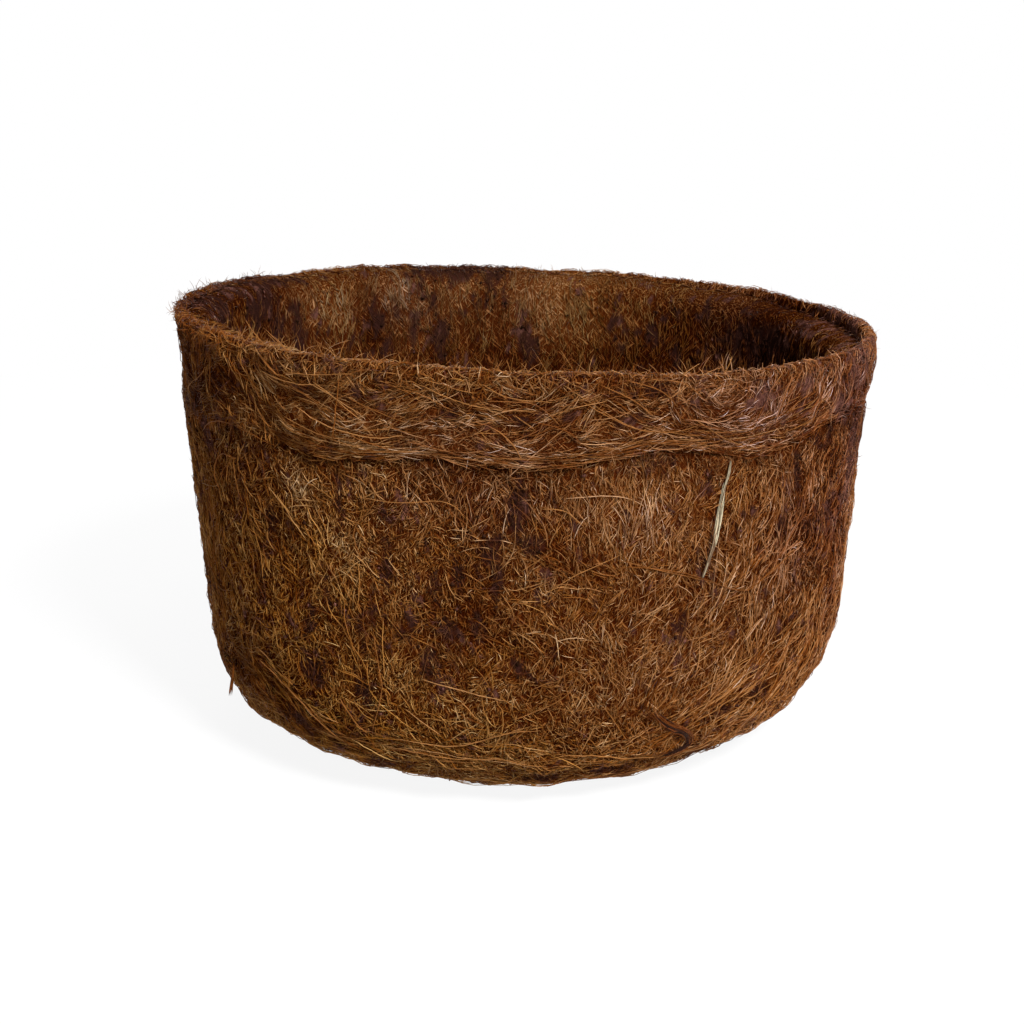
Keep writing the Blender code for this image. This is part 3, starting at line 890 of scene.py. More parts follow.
def growStrands(skin, strands, points):
    # strands holds arrays: angle, along, heading, length, bend, lift, arch, dip and flick
    angle, along, heading = strands["angle"], strands["along"], strands["heading"]
    step = strands["length"] / (points - 1)
    centres, outs = [], []
    for index in range(points):
        share = index / (points - 1)
        place, outward, radius = skin(angle, along)
        rise = (strands["lift"] + strands["arch"] * math.sin(math.pi * share)
                - strands["dip"] * abs(2 * share - 1) ** 4 + strands["flick"] * share ** 2
                + relief(place))
        centres.append(place + outward * rise[:, None])
        outs.append(outward)
        curl = strands["bend"] + strands["wander"] * np.sin(strands["phase"] + 6 * share)
        heading = heading + curl * step
        angle = angle + np.cos(heading) * step / np.maximum(radius, 0.004)
        along = along + np.sin(heading) * step
    return np.stack(centres, axis=1), np.stack(outs, axis=1)


def strandPattern(points):
    # Faces of one strand and the spots of their corners along and round it
    faces, sizes, spots = [], [], []
    ends = points - 1
    last = (points - 2) * 3 + 1
    for corner in range(3):
        following = (corner + 1) % 3
        low, high = corner / 3, (corner + 1) / 3
        faces += [0, 1 + following, 1 + corner]
        spots += [(0.0, (low + high) / 2), (1 / ends, high), (1 / ends, low)]
        sizes.append(3)
        for ring in range(points - 3):
            here, there = 1 + ring * 3, 4 + ring * 3
            start, end = (ring + 1) / ends, (ring + 2) / ends
            faces += [here + corner, here + following, there + following, there + corner]
            spots += [(start, low), (start, high), (end, high), (end, low)]
            sizes.append(4)
        end = last - 3
        faces += [last, end + corner, end + following]
        spots += [(1.0, (low + high) / 2), (1 - 1 / ends, low), (1 - 1 / ends, high)]
        sizes.append(3)
    return np.array(faces), np.array(sizes), np.array(spots)


def strandArrays(centres, outs, thick, tint):
    # centres and outs (strands, points, 3), thick (strands, points), tint (strands, points, 3)
    count, points, _ = centres.shape
    ahead = np.gradient(centres, axis=1)
    ahead /= np.maximum(np.linalg.norm(ahead, axis=2, keepdims=True), 1e-9)
    side = np.cross(ahead, outs)
    side /= np.maximum(np.linalg.norm(side, axis=2, keepdims=True), 1e-9)
    up = np.cross(side, ahead)
    turns = [quarter + corner * 2 * math.pi / 3 for corner in range(3)]
    ways = [side * math.cos(turn) + up * math.sin(turn) for turn in turns]
    rings = np.stack([centres + way * thick[:, :, None] for way in ways], axis=2)[:, 1:-1]
    width = (points - 2) * 3
    middles = rings.reshape(count, width, 3)
    verts = np.concatenate([centres[:, :1], middles, centres[:, -1:]], axis=1)
    middles = np.repeat(tint[:, 1:-1], 3, axis=1)
    colours = np.concatenate([tint[:, :1], middles, tint[:, -1:]], axis=1)
    return verts, colours


def addMesh(name, verts, corners, sizes, colours, finish):
    # A piece from arrays: the corners of its faces in turn, the faces' sizes, a colour per vertex
    mesh = bpy.data.meshes.new(name)
    mesh.vertices.add(len(verts))
    mesh.vertices.foreach_set("co", verts.astype(np.float32).ravel())
    mesh.loops.add(len(corners))
    mesh.loops.foreach_set("vertex_index", corners.astype(np.int32))
    mesh.polygons.add(len(sizes))
    mesh.polygons.foreach_set("loop_start", (np.cumsum(sizes) - sizes).astype(np.int32))
    mesh.update(calc_edges=True)
    layer = mesh.attributes.new("tint", "FLOAT_COLOR", "POINT")
    opaque = np.concatenate([colours, np.ones((len(colours), 1))], axis=1)
    layer.data.foreach_set("color", opaque.astype(np.float32).ravel())
    mesh.materials.append(finish)
    piece = bpy.data.objects.new(name, mesh)
    bpy.context.scene.collection.objects.link(piece)
    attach(piece, "root")
    return piece


def addFibres(name, bundles, finish=None, replaces=None):
    # bundles is a list of (centres, outs, thick, tint), which may have unlike numbers of points
    verts, colours, faces, sizes, spots, cells = [], [], [], [], [], []
    shift = number = 0
    for centres, outs, thick, tint in bundles:
        count, points, _ = centres.shape
        strandVerts, strandColours = strandArrays(centres, outs, thick, tint)
        pattern, patternSizes, patternSpots = strandPattern(points)
        each = strandVerts.shape[1]
        starts = shift + np.arange(count) * each
        faces.append((pattern[None, :] + starts[:, None]).ravel())
        sizes.append(np.tile(patternSizes, count))
        spots.append(np.tile(patternSpots, (count, 1)))
        cells.append(np.repeat(np.arange(number, number + count), len(pattern)))
        verts.append(strandVerts.reshape(-1, 3))
        colours.append(strandColours.reshape(-1, 3))
        shift += count * each
        number += count
    verts, colours, faces, sizes, spots, cells = (
        np.concatenate(part) for part in (verts, colours, faces, sizes, spots, cells))
    verts[:, 2] = np.maximum(verts[:, 2], 0.0)
    piece = addMesh(name, verts, faces, sizes, colours, finish or looseFibre)
    # Each strand has a cell of its own in the OFBake map
    columns = max(1, int(math.sqrt(number / 6)))
    rows = math.ceil(number / columns)
    corner = np.stack([cells % columns, cells // columns], axis=1)
    bake = piece.data.uv_layers.new(name="OFBake")
    margin = 0.04
    spread = (corner + margin + 0.92 * spots) / np.array([columns, rows])
    bake.data.foreach_set("uv", spread.astype(np.float32).ravel())
    piece.data.shade_smooth()
    if replaces:
        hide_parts(replaces)
    print("fibres", name, number, "strands", int((sizes - 2).sum()), "triangles")


toneDrift = waveField(31, 0.030)
toneGrain = waveField(32, 0.010)
hueDrift = waveField(33, 0.022)
streakTone = waveField(34, 0.011)


# What a strand's own tint and its region take off red, green and blue, how far its lightness
# drifts, and how much calmer it is on the left
tinting = {
    "amber": np.array([0, 0.22, 0.75]),
    "straw": np.array([0, 0.20, 0.60]),
    "golden": np.array([0.015, 0.035, 0.34]),
    "grey": np.array([-0.02, 0.03, 0.54]),
    "redder": np.array([0, 0.04, 0]),
    "drift": 0.030,
    "grain": 0.03,
    "calm": 0.40,
    "stainAndShadow": 0.80,
}


def strandTint(rng, centres, tone, style):
    # A shade for each strand from its tone and region, stains and painted shadow where it crosses
    # them, and painted shade towards its ends
    middle = centres[:, centres.shape[1] // 2]
    count = len(middle)
    stainedAndShaded = np.clip(smudgeAndShadowAt(centres) * rng.uniform(0.2, 1.25, (count, 1)), 0, 1)
    drift = tinting["drift"] * toneDrift(middle)
    tone = tone + drift + tinting["grain"] * toneGrain(middle) + toneAt(middle)
    tone = tone + style.get("streaky", 0.0) * streakTone(middle * np.array([1.0, 1.0, 0.2]))
    calm = 1 - tinting["calm"] * np.clip(-1.6 * middle[:, 0] / radiusOf(middle) - 0.3, 0, 1)
    tone = tone + rng.normal(0, style["toneNoise"], count) * calm
    shade = fibreShade(np.clip(tone[:, None] * (1 - 0.65 * stainedAndShaded), 0.02, 1))
    hue = 0.10 * hueDrift(middle) + rng.normal(0, 0.20, count)
    amber = np.clip(hue, 0, 0.6)[:, None]
    straw = np.clip(-hue, 0, 0.6)[:, None]
    own = (1 - amber * tinting["amber"]) * (1 + straw * tinting["straw"])
    region = hueAt(middle)[:, None]
    own = own * (1 - np.maximum(region, 0) * tinting["golden"])
    own = own * (1 - np.minimum(region, 0) * tinting["grey"])
    if "cast" in style:
        own = own * np.array(style["cast"])
    else:
        # The right side of the outside is redder
        aside = middle[:, 0] / radiusOf(middle)
        own = own * (1 - np.clip(2 * aside + 0.2, 0, 1)[:, None] * tinting["redder"])
    shade = shade * own[:, None, :]
    dustAndShadow = np.array(smudgeAndShadowColour) * rng.uniform(0.6, 1.6, (count, 1, 1))
    shade = shade + (dustAndShadow - shade) * (tinting["stainAndShadow"] * stainedAndShaded)[:, :, None]
    pithy = np.array(pithShade) * rng.uniform(0.5, 1.3, (count, 1, 1))
    dulled = np.clip(pithAt(centres) * rng.uniform(0.4, 1.1, (count, 1)), 0, 0.9)
    shade = shade + (pithy - shade) * dulled[:, :, None]
    # Painted shade: each strand is darker towards its ends, where it dips under other fibres into
    # the felt
    share = np.linspace(0, 1, centres.shape[1])
    endShadeFloor = style.get("ends", 0.7)
    endShade = endShadeFloor + (1 - endShadeFloor) * np.clip(np.sin(math.pi * share) * 2.2, 0, 1)
    return shade * endShade[None, :, None]


def thickness(rng, count, points, low, high):
    share = np.linspace(0, 1, points)
    body = 1 - 0.4 * np.abs(2 * share - 1) ** 3
    return rng.uniform(low, high, count)[:, None] * body[None, :]


# Settings that most kinds of fibre share. Each tuft holds fibres that lie side by side. Lengths are
# in metres, bends and wander in radians a metre, splay in radians, and tones are lightness.
commonStyle = {
    "each": 2, "wide": 0.0009, "stagger": 0.8, "bow": 0.2, "splay": 0.45, "bend": 60,
    "ownBend": 30, "wander": 0, "jitter": 0.0001, "arch": 0.0003, "dip": 0.0002, "flick": 0,
    "half": (0.00009, 0.00014), "tuftTone": 0.02, "levelTone": 0.06, "toneNoise": 0.14,
}


def fibreStyle(**own):
    return {**commonStyle, **own}


def tufts(rng, skin, angle, along, heading, style):
    # Fibres that lie side by side in tufts: angle, along and heading are those of the tufts
    number = len(angle)
    level = rng.uniform(*style["level"], number)
    tone = style["tone"] + rng.normal(0, style["tuftTone"], number)
    # Painted shade and highlight: fibres that lie lower are darker, and those that lie higher are
    # lighter in place of glints
    above = level - np.mean(style["level"])
    tone = tone + style["levelTone"] * above / (np.ptp(style["level"]) / 2)
    size = rng.uniform(*style["length"], number)
    curve = rng.normal(0, style["bend"], number)
    index = np.repeat(np.arange(number), style["each"])
    count = len(index)
    side = rng.normal(0, style["wide"], count)
    length = size[index] * rng.uniform(0.55, 1.0, count)
    slip = rng.uniform(-0.5, 0.5, count) * size[index] * style["stagger"] - length / 2
    bow = style["bow"] * side / length
    turn = heading[index] + rng.normal(0, style["splay"], count)
    edge = side * (1 - style["bow"])
    radius = np.maximum(skin(angle, along)[2][index], 0.01)
    strands = {
        "angle": angle[index] + (np.cos(turn) * slip - np.sin(turn) * edge) / radius,
        "along": along[index] + np.sin(turn) * slip + np.cos(turn) * edge,
        "heading": turn + 4 * bow,
        "length": length,
        "bend": curve[index] + rng.normal(0, style["ownBend"], count) - 8 * bow / length,
        "wander": rng.normal(0, style["wander"], count),
        "phase": rng.uniform(0, 2 * math.pi, count),
        "lift": level[index] + rng.normal(0, style["jitter"], count),
        "arch": rng.uniform(0, style["arch"], count),
        "dip": rng.uniform(0.3, 1.0, count) * style["dip"],
        "flick": np.maximum(rng.normal(-1.0, 1.2, count), 0) * style["flick"],
    }
    centres, outs = growStrands(skin, strands, style["points"])
    thick = thickness(rng, count, style["points"], *style["half"])
    tint = strandTint(rng, centres, tone[index], style)
    return centres, outs, thick, tint


def keepOnly(bundle, keep):
    return tuple(part[keep] for part in bundle)


def middleOf(bundle):
    return bundle[0][:, bundle[0].shape[1] // 2]


def thinned(rng, bundle, lost, sound=True):
    # Drops strands by chance, and those that aren't sound
    chance = rng.uniform(0, 1, len(bundle[0]))
    return keepOnly(bundle, (chance > lost) & sound)


def smoothed(path, count):
    # Catmull-Rom curve through the points of a path, at even shares
    path = np.array(path, float).reshape(-1, 2)
    ends = np.concatenate([[2 * path[0] - path[1]], path, [2 * path[-1] - path[-2]]])
    spans = len(path) - 1
    spot = np.linspace(0, spans, count)
    index = np.minimum(spot.astype(int), spans - 1)
    t = (spot - index)[:, None]
    before, start, end, after = (ends[index + step] for step in range(4))
    return 0.5 * (2 * start + (end - before) * t
                  + (2 * before - 5 * start + 4 * end - after) * t ** 2
                  + (3 * start - before - 3 * end + after) * t ** 3)


# Swaths of fibre that follow a path: its half width in mm, how many fibres are laid along it, and
# the angles in degrees and heights in mm of its points in turn
swaths = (
    (4, 26, -86, 148, -81, 142, -76, 135.5, -70, 131.5, -62, 129, -54, 129.5, -46, 132, -40, 136),
    (2.4, 30, -127, 129, -118, 125.5, -108, 125, -98, 125, -88, 123.5, -80, 125.5, -73, 128,
     -65, 126.5),
    (4, 22, -133, 146, -122, 140, -113, 133, -104, 130.5, -96, 133, -89, 139, -84, 145),
    (2.4, 12, -66, 126.5, -60, 124.5, -54, 124.5, -47, 127, -40, 131),
    (3, 14, -110, 147, -102, 143, -95, 139, -87, 139, -80, 143),
    (4, 34, -128, 25, -115, 23.5, -102, 23.5, -90, 21.5, -78, 20.5, -68, 18),
    (8, 44, -73, 28, -62, 37, -52, 45, -42, 51, -33, 56),
    (6, 26, -143, 47, -134, 40, -126, 32, -118, 25),
)


def followSwaths(rng, angle, height, heading):
    # Turns the headings of fibres that lie near a swath along it
    reach = pot["rimRadius"]
    for wide, _, *path in swaths:
        spots = smoothed(path, 80) * np.array([math.radians(1) * reach, 0.001])
        run = np.gradient(spots, axis=0)
        far = np.hypot(angle[:, None] * reach - spots[:, 0], height[:, None] - spots[:, 1])
        nearest = far.argmin(axis=1)
        way = np.arctan2(run[nearest, 1], run[nearest, 0]) + rng.normal(0, 0.20, len(angle))
        share = np.exp(-(far.min(axis=1) / (wide / 1000)) ** 2)
        heading = heading + (way - heading) * share
    return heading


headingDrift = waveField(41, 0.030)
headingGrain = waveField(42, 0.011)

# The deep kind, like the under kinds of the collar, foot and lining, has a lower tone as painted
# shade beneath the fibres above it
wallFibres = {
    "deep": fibreStyle(number=2500, points=3, length=(0.003, 0.007), level=(-0.0003, 0),
        tone=0.41, splay=0.35, bend=50, arch=0.0001, half=(0.00012, 0.00018), tuftTone=0.03),
    "short": fibreStyle(number=6000, points=3, length=(0.002, 0.005), level=(-0.0001, 0.0004),
        tone=0.52, wide=0.001, ownBend=35, arch=0.0002, half=(0.00009, 0.00013), levelTone=0.1,
        toneNoise=0.12),
    "tangle": fibreStyle(number=1600, points=4, length=(0.003, 0.008), level=(0.0001, 0.0005),
        tone=0.55, wide=0.001, bend=70, ownBend=45, wander=40, arch=0.0002, dip=0.0004,
        flick=0.0001, half=(0.00009, 0.00013), levelTone=0.08),
    "combed": fibreStyle(number=900, points=5, length=(0.007, 0.018), level=(0.0001, 0.0006),
        tone=0.53, each=3, wide=0.0012, bow=0.3, splay=0.18, bend=24, ownBend=20, wander=35,
        dip=0.0005, flick=0.0002, tuftTone=0.03, levelTone=0.08),
    "loose": fibreStyle(number=400, points=6, length=(0.007, 0.016), level=(0.0002, 0.0006),
        tone=0.55, wide=0.001, stagger=0.6, bow=0.4, splay=0.25, ownBend=25, wander=45,
        dip=0.0005, flick=0.0002, half=(0.0001, 0.00015), tuftTone=0.05, toneNoise=0.12),
    "long": fibreStyle(number=90, points=10, length=(0.015, 0.035), level=(0.0004, 0.0008),
        tone=0.54, each=1, stagger=0.6, bow=0, splay=0.2, bend=25, ownBend=15, wander=40,
        dip=0.0008, flick=0.0002, half=(0.00012, 0.00018), tuftTone=0.07, levelTone=0,
        toneNoise=0.08),
}
# Where the wall's fibres lie combed: each a patch as above, and how far they rise to the right
# there in degrees
combings = tuple((patchField((patch,)), math.radians(rise)) for patch, rise in (
    ((-46, 42, 38, 17, 1, -10), 34), ((-22, 50, 16, 26, 0.9), 55), ((-50, 94, 20, 24, 0.9), 75),
    ((-72, 78, 16, 16, 0.6), 62), ((-78, 108, 24, 13, 0.9), 96), ((-97, 110, 14, 10, 0.8), 78),
    ((-137, 36, 30, 12, 1, 20), -36), ((-155, 80, 16, 40, 0.7), 95), ((20, 60, 30, 30, 0.8), 70),
    ((70, 90, 30, 20, 0.8), 100), ((110, 40, 40, 15, 0.9), -20), ((150, 90, 25, 25, 0.8), 60),
))
# How many pieces the wall's fibres make, how low they start, and what thins or darkens them, with
# the painted shadow under the collar's edge
wallCoat = {
    "sectors": 6,
    "low": 0.012,
    "stainedAndShaded": 0.40,
    "pith": 0.7,
    "parted": 0.95,
    "underEdgeShadow": 0.58,
    "underEdgeShadowReach": 0.0018,
    "over": -0.0004,
}


def makeWallFibres():
    share = 2 * math.pi / wallCoat["sectors"]
    for sector in range(wallCoat["sectors"]):
        rng = np.random.default_rng(100 + sector)
        start = -math.pi + sector * 2 * math.pi / wallCoat["sectors"]
        bundles = []
        for kind, style in wallFibres.items():
            number = style["number"]
            angle = start + rng.uniform(0, share, number)
            foot = outerAlong(wallCoat["low"] + 0 * angle)
            top = outerAlong(collarEdge(angle)) - 0.0008
            along = foot + (top - foot) * rng.uniform(0, 1, number)
            place = outerSkin(angle, along)[0]
            lean = 0.35 * headingDrift(place) + 0.40 * headingGrain(place)
            heading = quarter + lean + rng.normal(0, 0.55, number)
            combed = np.zeros(number)
            for patch, rise in combings:
                pull = np.clip(1.4 * patch(place, np.maximum), 0, 1)
                wanted = rise + 0.5 * lean + rng.normal(0, 0.25, number)
                heading = heading + (wanted - heading) * pull
                combed = np.maximum(combed, pull)
            chance = rng.uniform(0, 1, number)
            chosen = chance < combed if kind == "combed" else chance > 0.3 * combed
            bundle = tufts(rng, footSkin, angle[chosen], along[chosen], heading[chosen], style)
            middle = middleOf(bundle)
            below = collarEdge(angleOf(middle)) - bundle[0][:, :, 2].max(axis=1)
            cloggedAndShaded = np.maximum(smudgeAndShadowAt(middle), wallCoat["pith"] * pithAt(middle))
            stainedAndShaded = wallCoat["stainedAndShaded"] * cloggedAndShaded
            parted = wallCoat["parted"] * outsideGaps(bundle[0], np.maximum).max(axis=1)
            lost = np.maximum(stainedAndShaded, parted) * (kind != "deep")
            # Painted shadow: darker close under the collar's edge
            near = np.exp(-np.maximum(below, 0) / wallCoat["underEdgeShadowReach"])
            shade = 1 - wallCoat["underEdgeShadow"] * near
            bundle = (*bundle[:3], bundle[3] * shade[:, None, None])
            bundles.append(thinned(rng, bundle, lost, below > wallCoat["over"]))
        addFibres("wallFibres" + str(sector + 1), bundles)


makeWallFibres()


swathes = waveField(51, 0.040)
swatheGrain = waveField(52, 0.015)

collarFibres = {
    "under": fibreStyle(number=6000, points=3, length=(0.003, 0.007), level=(-0.0003, 0.0001),
        tone=0.4, splay=0.3, bend=40, ownBend=25, arch=0.0001, half=(0.0001, 0.00015),
        levelTone=0.07, toneNoise=0.17),
    "swathe": fibreStyle(number=1150, points=4, length=(0.005, 0.012), level=(0, 0.0004),
        tone=0.54, each=12, wide=0.0014, bow=0.5, splay=0.16, bend=30, ownBend=16, wander=25,
        jitter=0.00015, arch=0.0002, dip=0.0003, flick=0.0001, half=(0.00007, 0.0001),
        tuftTone=0.01, levelTone=0.1, toneNoise=0.19),
    "loose": fibreStyle(number=460, points=8, length=(0.01, 0.028), level=(0.0003, 0.0008),
        tone=0.55, each=1, wide=0.0008, stagger=0.5, bow=0.4, splay=0.15, bend=30, ownBend=15,
        wander=35, dip=0.0006, flick=0.0002, half=(0.00011, 0.00017), tuftTone=0.07, levelTone=0,
        toneNoise=0.1),
}
edgeFibres = fibreStyle(number=360, points=6, length=(0.007, 0.016), level=(0, 0.0003), tone=0.47,
    each=3, wide=0.0008, stagger=0.7, bow=0.3, splay=0.08, bend=10, ownBend=8, wander=20,
    arch=0.0002, dip=0.0004, flick=0.0001, tuftTone=0.04, levelTone=0.08)
lipFibres = fibreStyle(number=2500, points=4, length=(0.004, 0.01), level=(0, 0.0005), tone=0.48,
    stagger=0.6, bow=0.3, bend=70, ownBend=50, wander=60, jitter=0.00015, arch=0.0004, dip=0.0004,
    flick=0.0008, tuftTone=0.05, levelTone=0.12, toneNoise=0.15)
hangingFibres = fibreStyle(number=1200, points=5, length=(0.004, 0.011), level=(-0.0004, 0.0002),
    tone=0.47, each=1, stagger=0, bow=0, splay=0.1, ownBend=40, wander=60, dip=0.0005,
    tuftTone=0.08, toneNoise=0.12)
bridgeFibres = fibreStyle(number=1500, points=4, length=(0.003, 0.008), level=(-0.0002, 0.0003),
    tone=0.44, stagger=0.5, splay=0.35, ownBend=40, wander=60, dip=0.0003, flick=0.0002,
    tuftTone=0.06, levelTone=0.1, toneNoise=0.13)


def bridgeSkin(angle, along):
    # From the top of the lip inwards, across the groove, to the ledge
    ledgeHeight, ledgeEnd, ledge, _ = liningLengths(angle)
    top = rimTop(angle)
    start = collarRadius(top, angle) - pot["collarThick"] / 2
    span = start - ledgeEnd + 0.5 * ledge
    share = np.clip(along / span, -0.3, 1)
    radius = start - span * share
    sunk = np.clip(share, 0, 1)
    height = top - (top - ledgeHeight) * sunk ** 2 * (3 - 2 * sunk)
    return onPot(angle, radius, height, -0.3 + 0 * angle, 0.95)


def makeRimFibres():
    rng = np.random.default_rng(210)
    number = hangingFibres["number"]
    left = rng.uniform(0, 1, number) < 0.65
    angle = np.where(left, rng.uniform(math.radians(-195), math.radians(-128), number),
                     anyAngle(rng, number))
    hanging = tufts(rng, collarSkin, angle, rng.uniform(-0.002, 0.006, number),
                    -quarter + rng.normal(0, 0.35, number), hangingFibres)
    number = bridgeFibres["number"]
    angle = anyAngle(rng, number)
    # The groove on the right is left open
    angle = angle[rng.uniform(0, 1, number) > 0.9 * np.exp(-((angle - 0.05) / 0.5) ** 4)]
    across = tufts(rng, bridgeSkin, angle, rng.uniform(-0.001, 0.005, len(angle)),
                   quarter + rng.normal(0, 0.6, len(angle)), bridgeFibres)
    addFibres("rimFibres", [hanging, across])


makeRimFibres()


# How the collar's coat lies. Low on the collar the fibres calm down to level. On its right they
# rise to the right, and on its left its lower edge all but sinks into the wall.
collarCoat = {
    "low": 0.0012,
    "calmFrom": 0.002,
    "calmOver": 0.008,
    "slopes": (0.55, 0.35, 0.35),
    "risingSide": -0.60,
    "risingWide": 0.42,
    "rising": 0.8,
    "risingThin": 0.55,
    "stainedAndShaded": 0.50,
    "smudgedAndShaded": 0.8,
    "under": -0.0035,
    "edge": (0.0002, 0.0040),
    "sunkSide": math.radians(-160),
    "sunkWide": 0.55,
    "sunk": 0.85,
    "lip": (-0.005, 0.004),
    "backDrop": 0.0004,
}


def makeCollarFibres():
    rng = np.random.default_rng(200)
    for kind, style in collarFibres.items():
        number = style["number"]
        angle = anyAngle(rng, number)
        face = collarFace(angle)
        along = collarCoat["low"] + (face - collarCoat["low"]) * rng.uniform(0, 1, number)
        place = collarSkin(angle, along)[0]
        calm = np.clip((along - collarCoat["calmFrom"]) / collarCoat["calmOver"], 0.0, 1)
        broad, fine, own = collarCoat["slopes"]
        slope = broad * swathes(place) + fine * swatheGrain(place) + rng.normal(0, own, number)
        rising = np.exp(-((angle - collarCoat["risingSide"]) / collarCoat["risingWide"]) ** 2)
        slope = followSwaths(rng, angle, place[:, 2], slope + collarCoat["rising"] * rising) * calm
        lost = collarCoat["risingThin"] * rising * (kind != "under")
        chosen = rng.uniform(0, 1, number) > lost
        bundle = tufts(rng, collarSkin, angle[chosen], along[chosen], slope[chosen], style)
        middle = middleOf(bundle)
        low = bundle[0][:, :, 2].min(axis=1) - collarEdge(angleOf(middle))
        stainedAndShaded = np.maximum(collarCoat["smudgedAndShaded"] * smudgeAndShadowAt(middle), pithAt(middle))
        kept = thinned(rng, bundle, collarCoat["stainedAndShaded"] * stainedAndShaded, low > collarCoat["under"])
        addFibres("collar" + kind.capitalize() + "Fibres", [kept])
    number = edgeFibres["number"]
    angle = anyAngle(rng, number)
    along = rng.uniform(*collarCoat["edge"], number)
    edgeBundle = tufts(rng, collarSkin, angle, along, rng.normal(0, 0.05, number), edgeFibres)
    turned = angleOf(middleOf(edgeBundle)) - collarCoat["sunkSide"]
    turned = np.arctan2(np.sin(turned), np.cos(turned))
    sunk = np.exp(-(turned / collarCoat["sunkWide"]) ** 4)
    edgeBundle = thinned(rng, edgeBundle, collarCoat["sunk"] * sunk)
    number = lipFibres["number"]
    angle = anyAngle(rng, number)
    along = collarFace(angle) + rng.uniform(*collarCoat["lip"], number)
    heading = quarter + rng.normal(0, 0.75, number)
    lipBundle = tufts(rng, collarSkin, angle, along, heading, lipFibres)
    # The back of the lip is worn smoother than the front
    drop = collarCoat["backDrop"] * np.clip(np.sin(angleOf(middleOf(lipBundle))), 0, 1)
    lipBundle = (lipBundle[0] - lipBundle[1] * drop[:, None, None], *lipBundle[1:])
    addFibres("collarEdgeFibres", [edgeBundle, lipBundle])


makeCollarFibres()


footFibres = {
    "under": fibreStyle(number=3600, points=3, length=(0.004, 0.01), level=(-0.0004, 0),
        tone=0.44, wide=0.001, splay=0.3, bend=40, arch=0.0001, half=(0.00013, 0.00019),
        tuftTone=0.04, levelTone=0.07, toneNoise=0.12),
    "combed": fibreStyle(number=900, points=6, length=(0.01, 0.026), level=(-0.0003, 0.0002),
        tone=0.57, each=4, wide=0.0014, stagger=0.7, bow=0.4, splay=0.12, bend=14, ownBend=10,
        wander=25, jitter=0.00015, arch=0.0002, dip=0.0004, flick=0.0003, tuftTone=0.04,
        levelTone=0.09, toneNoise=0.11),
    "long": fibreStyle(number=300, points=10, length=(0.024, 0.055), level=(0.0001, 0.0005),
        tone=0.56, each=1, wide=0.001, stagger=0.5, bow=0, splay=0.1, bend=12, ownBend=8,
        wander=20, arch=0.0004, dip=0.0007, flick=0.0004, half=(0.00011, 0.00017), tuftTone=0.07,
        levelTone=0, toneNoise=0.09),
}
# How the foot's coat lies: from a distance along the skin up to a height, near level
footCoat = {
    "low": 0.078, "high": 0.031, "crowded": 1.2, "lean": 0.20, "spread": 0.24, "smudgedAndShaded": 0.3,
}


def makeFootFibres():
    rng = np.random.default_rng(300)
    for kind, style in footFibres.items():
        number = style["number"]
        angle = anyAngle(rng, number)
        low, high = footCoat["low"], outerAlong(footCoat["high"])
        along = low + (high - low) * rng.beta(footCoat["crowded"], footCoat["crowded"], number)
        place = footSkin(angle, along)[0]
        heading = footCoat["lean"] * swathes(place) + rng.normal(0, footCoat["spread"], number)
        heading = followSwaths(rng, angle, place[:, 2], heading)
        bundle = tufts(rng, footSkin, angle, along, heading, style)
        kept = thinned(rng, bundle, footCoat["smudgedAndShaded"] * smudgeAndShadowAt(middleOf(bundle)))
        addFibres("foot" + kind.capitalize() + "Fibres", [kept])


makeFootFibres()


liningFibres = {
    "under": fibreStyle(number=7600, points=3, length=(0.003, 0.008), level=(-0.0002, 0.0001),
        tone=0.47, wide=0.001, splay=0.25, bend=40, arch=0.0001, half=(0.00013, 0.00019),
        levelTone=0.05, toneNoise=0.06, cast=(0.92, 1.06, 1.08), streaky=0.06),
    "upright": fibreStyle(number=2300, points=4, length=(0.006, 0.015), level=(0, 0.00015),
        tone=0.52, each=4, wide=0.0011, bow=0.3, splay=0.14, bend=24, ownBend=18, wander=30,
        jitter=0.00006, arch=0.0001, flick=0.0001, half=(0.00008, 0.00012), tuftTone=0.025,
        levelTone=0.02, toneNoise=0.045, ends=0.9, cast=(0.92, 1.06, 1.08), streaky=0.08),
}


# How the lining's coat lies. Over the shoulder on the right and left the felt is worn, and its
# fibres lie every way.
liningCoat = {
    "denser": 1.1,
    "rightSide": 0.30,
    "rightWide": 0.85,
    "leftFrom": 2.75,
    "shoulderPast": 1.5,
    "lean": 0.18,
    "spread": 0.16,
    "wornSpread": 0.8,
    "worn": {"under": 0.35, "upright": 0.96},
    "smudgedAndShaded": 0.5,
}


def makeLiningFibres():
    rng = np.random.default_rng(400)
    for kind, style in liningFibres.items():
        number = style["number"]
        angle = anyAngle(rng, number)
        _, _, ledge, drop = liningLengths(angle)
        whole = ledge + shoulderBend * quarter + drop + innerCorner
        along = whole * rng.uniform(0, 1, number) ** liningCoat["denser"]
        place = liningSkin(angle, along)[0]
        right = np.exp(-((angle - liningCoat["rightSide"]) / liningCoat["rightWide"]) ** 4)
        sides = np.maximum(right, np.abs(angle) > liningCoat["leftFrom"])
        matted = sides * (along < ledge + shoulderBend * liningCoat["shoulderPast"])
        spread = liningCoat["spread"] + liningCoat["wornSpread"] * matted
        heading = (quarter + liningCoat["lean"] * headingDrift(place)
                   + rng.normal(0, 1, number) * spread)
        bundle = tufts(rng, liningSkin, angle, along, heading, style)
        worn = np.repeat(matted, style["each"]) * liningCoat["worn"][kind]
        smudgedAndShaded = liningCoat["smudgedAndShaded"] * smudgeAndShadowAt(middleOf(bundle))
        kept = thinned(rng, bundle, np.maximum(smudgedAndShaded, worn))
        addFibres("lining" + kind.capitalize() + "Fibres", [kept])


makeLiningFibres()


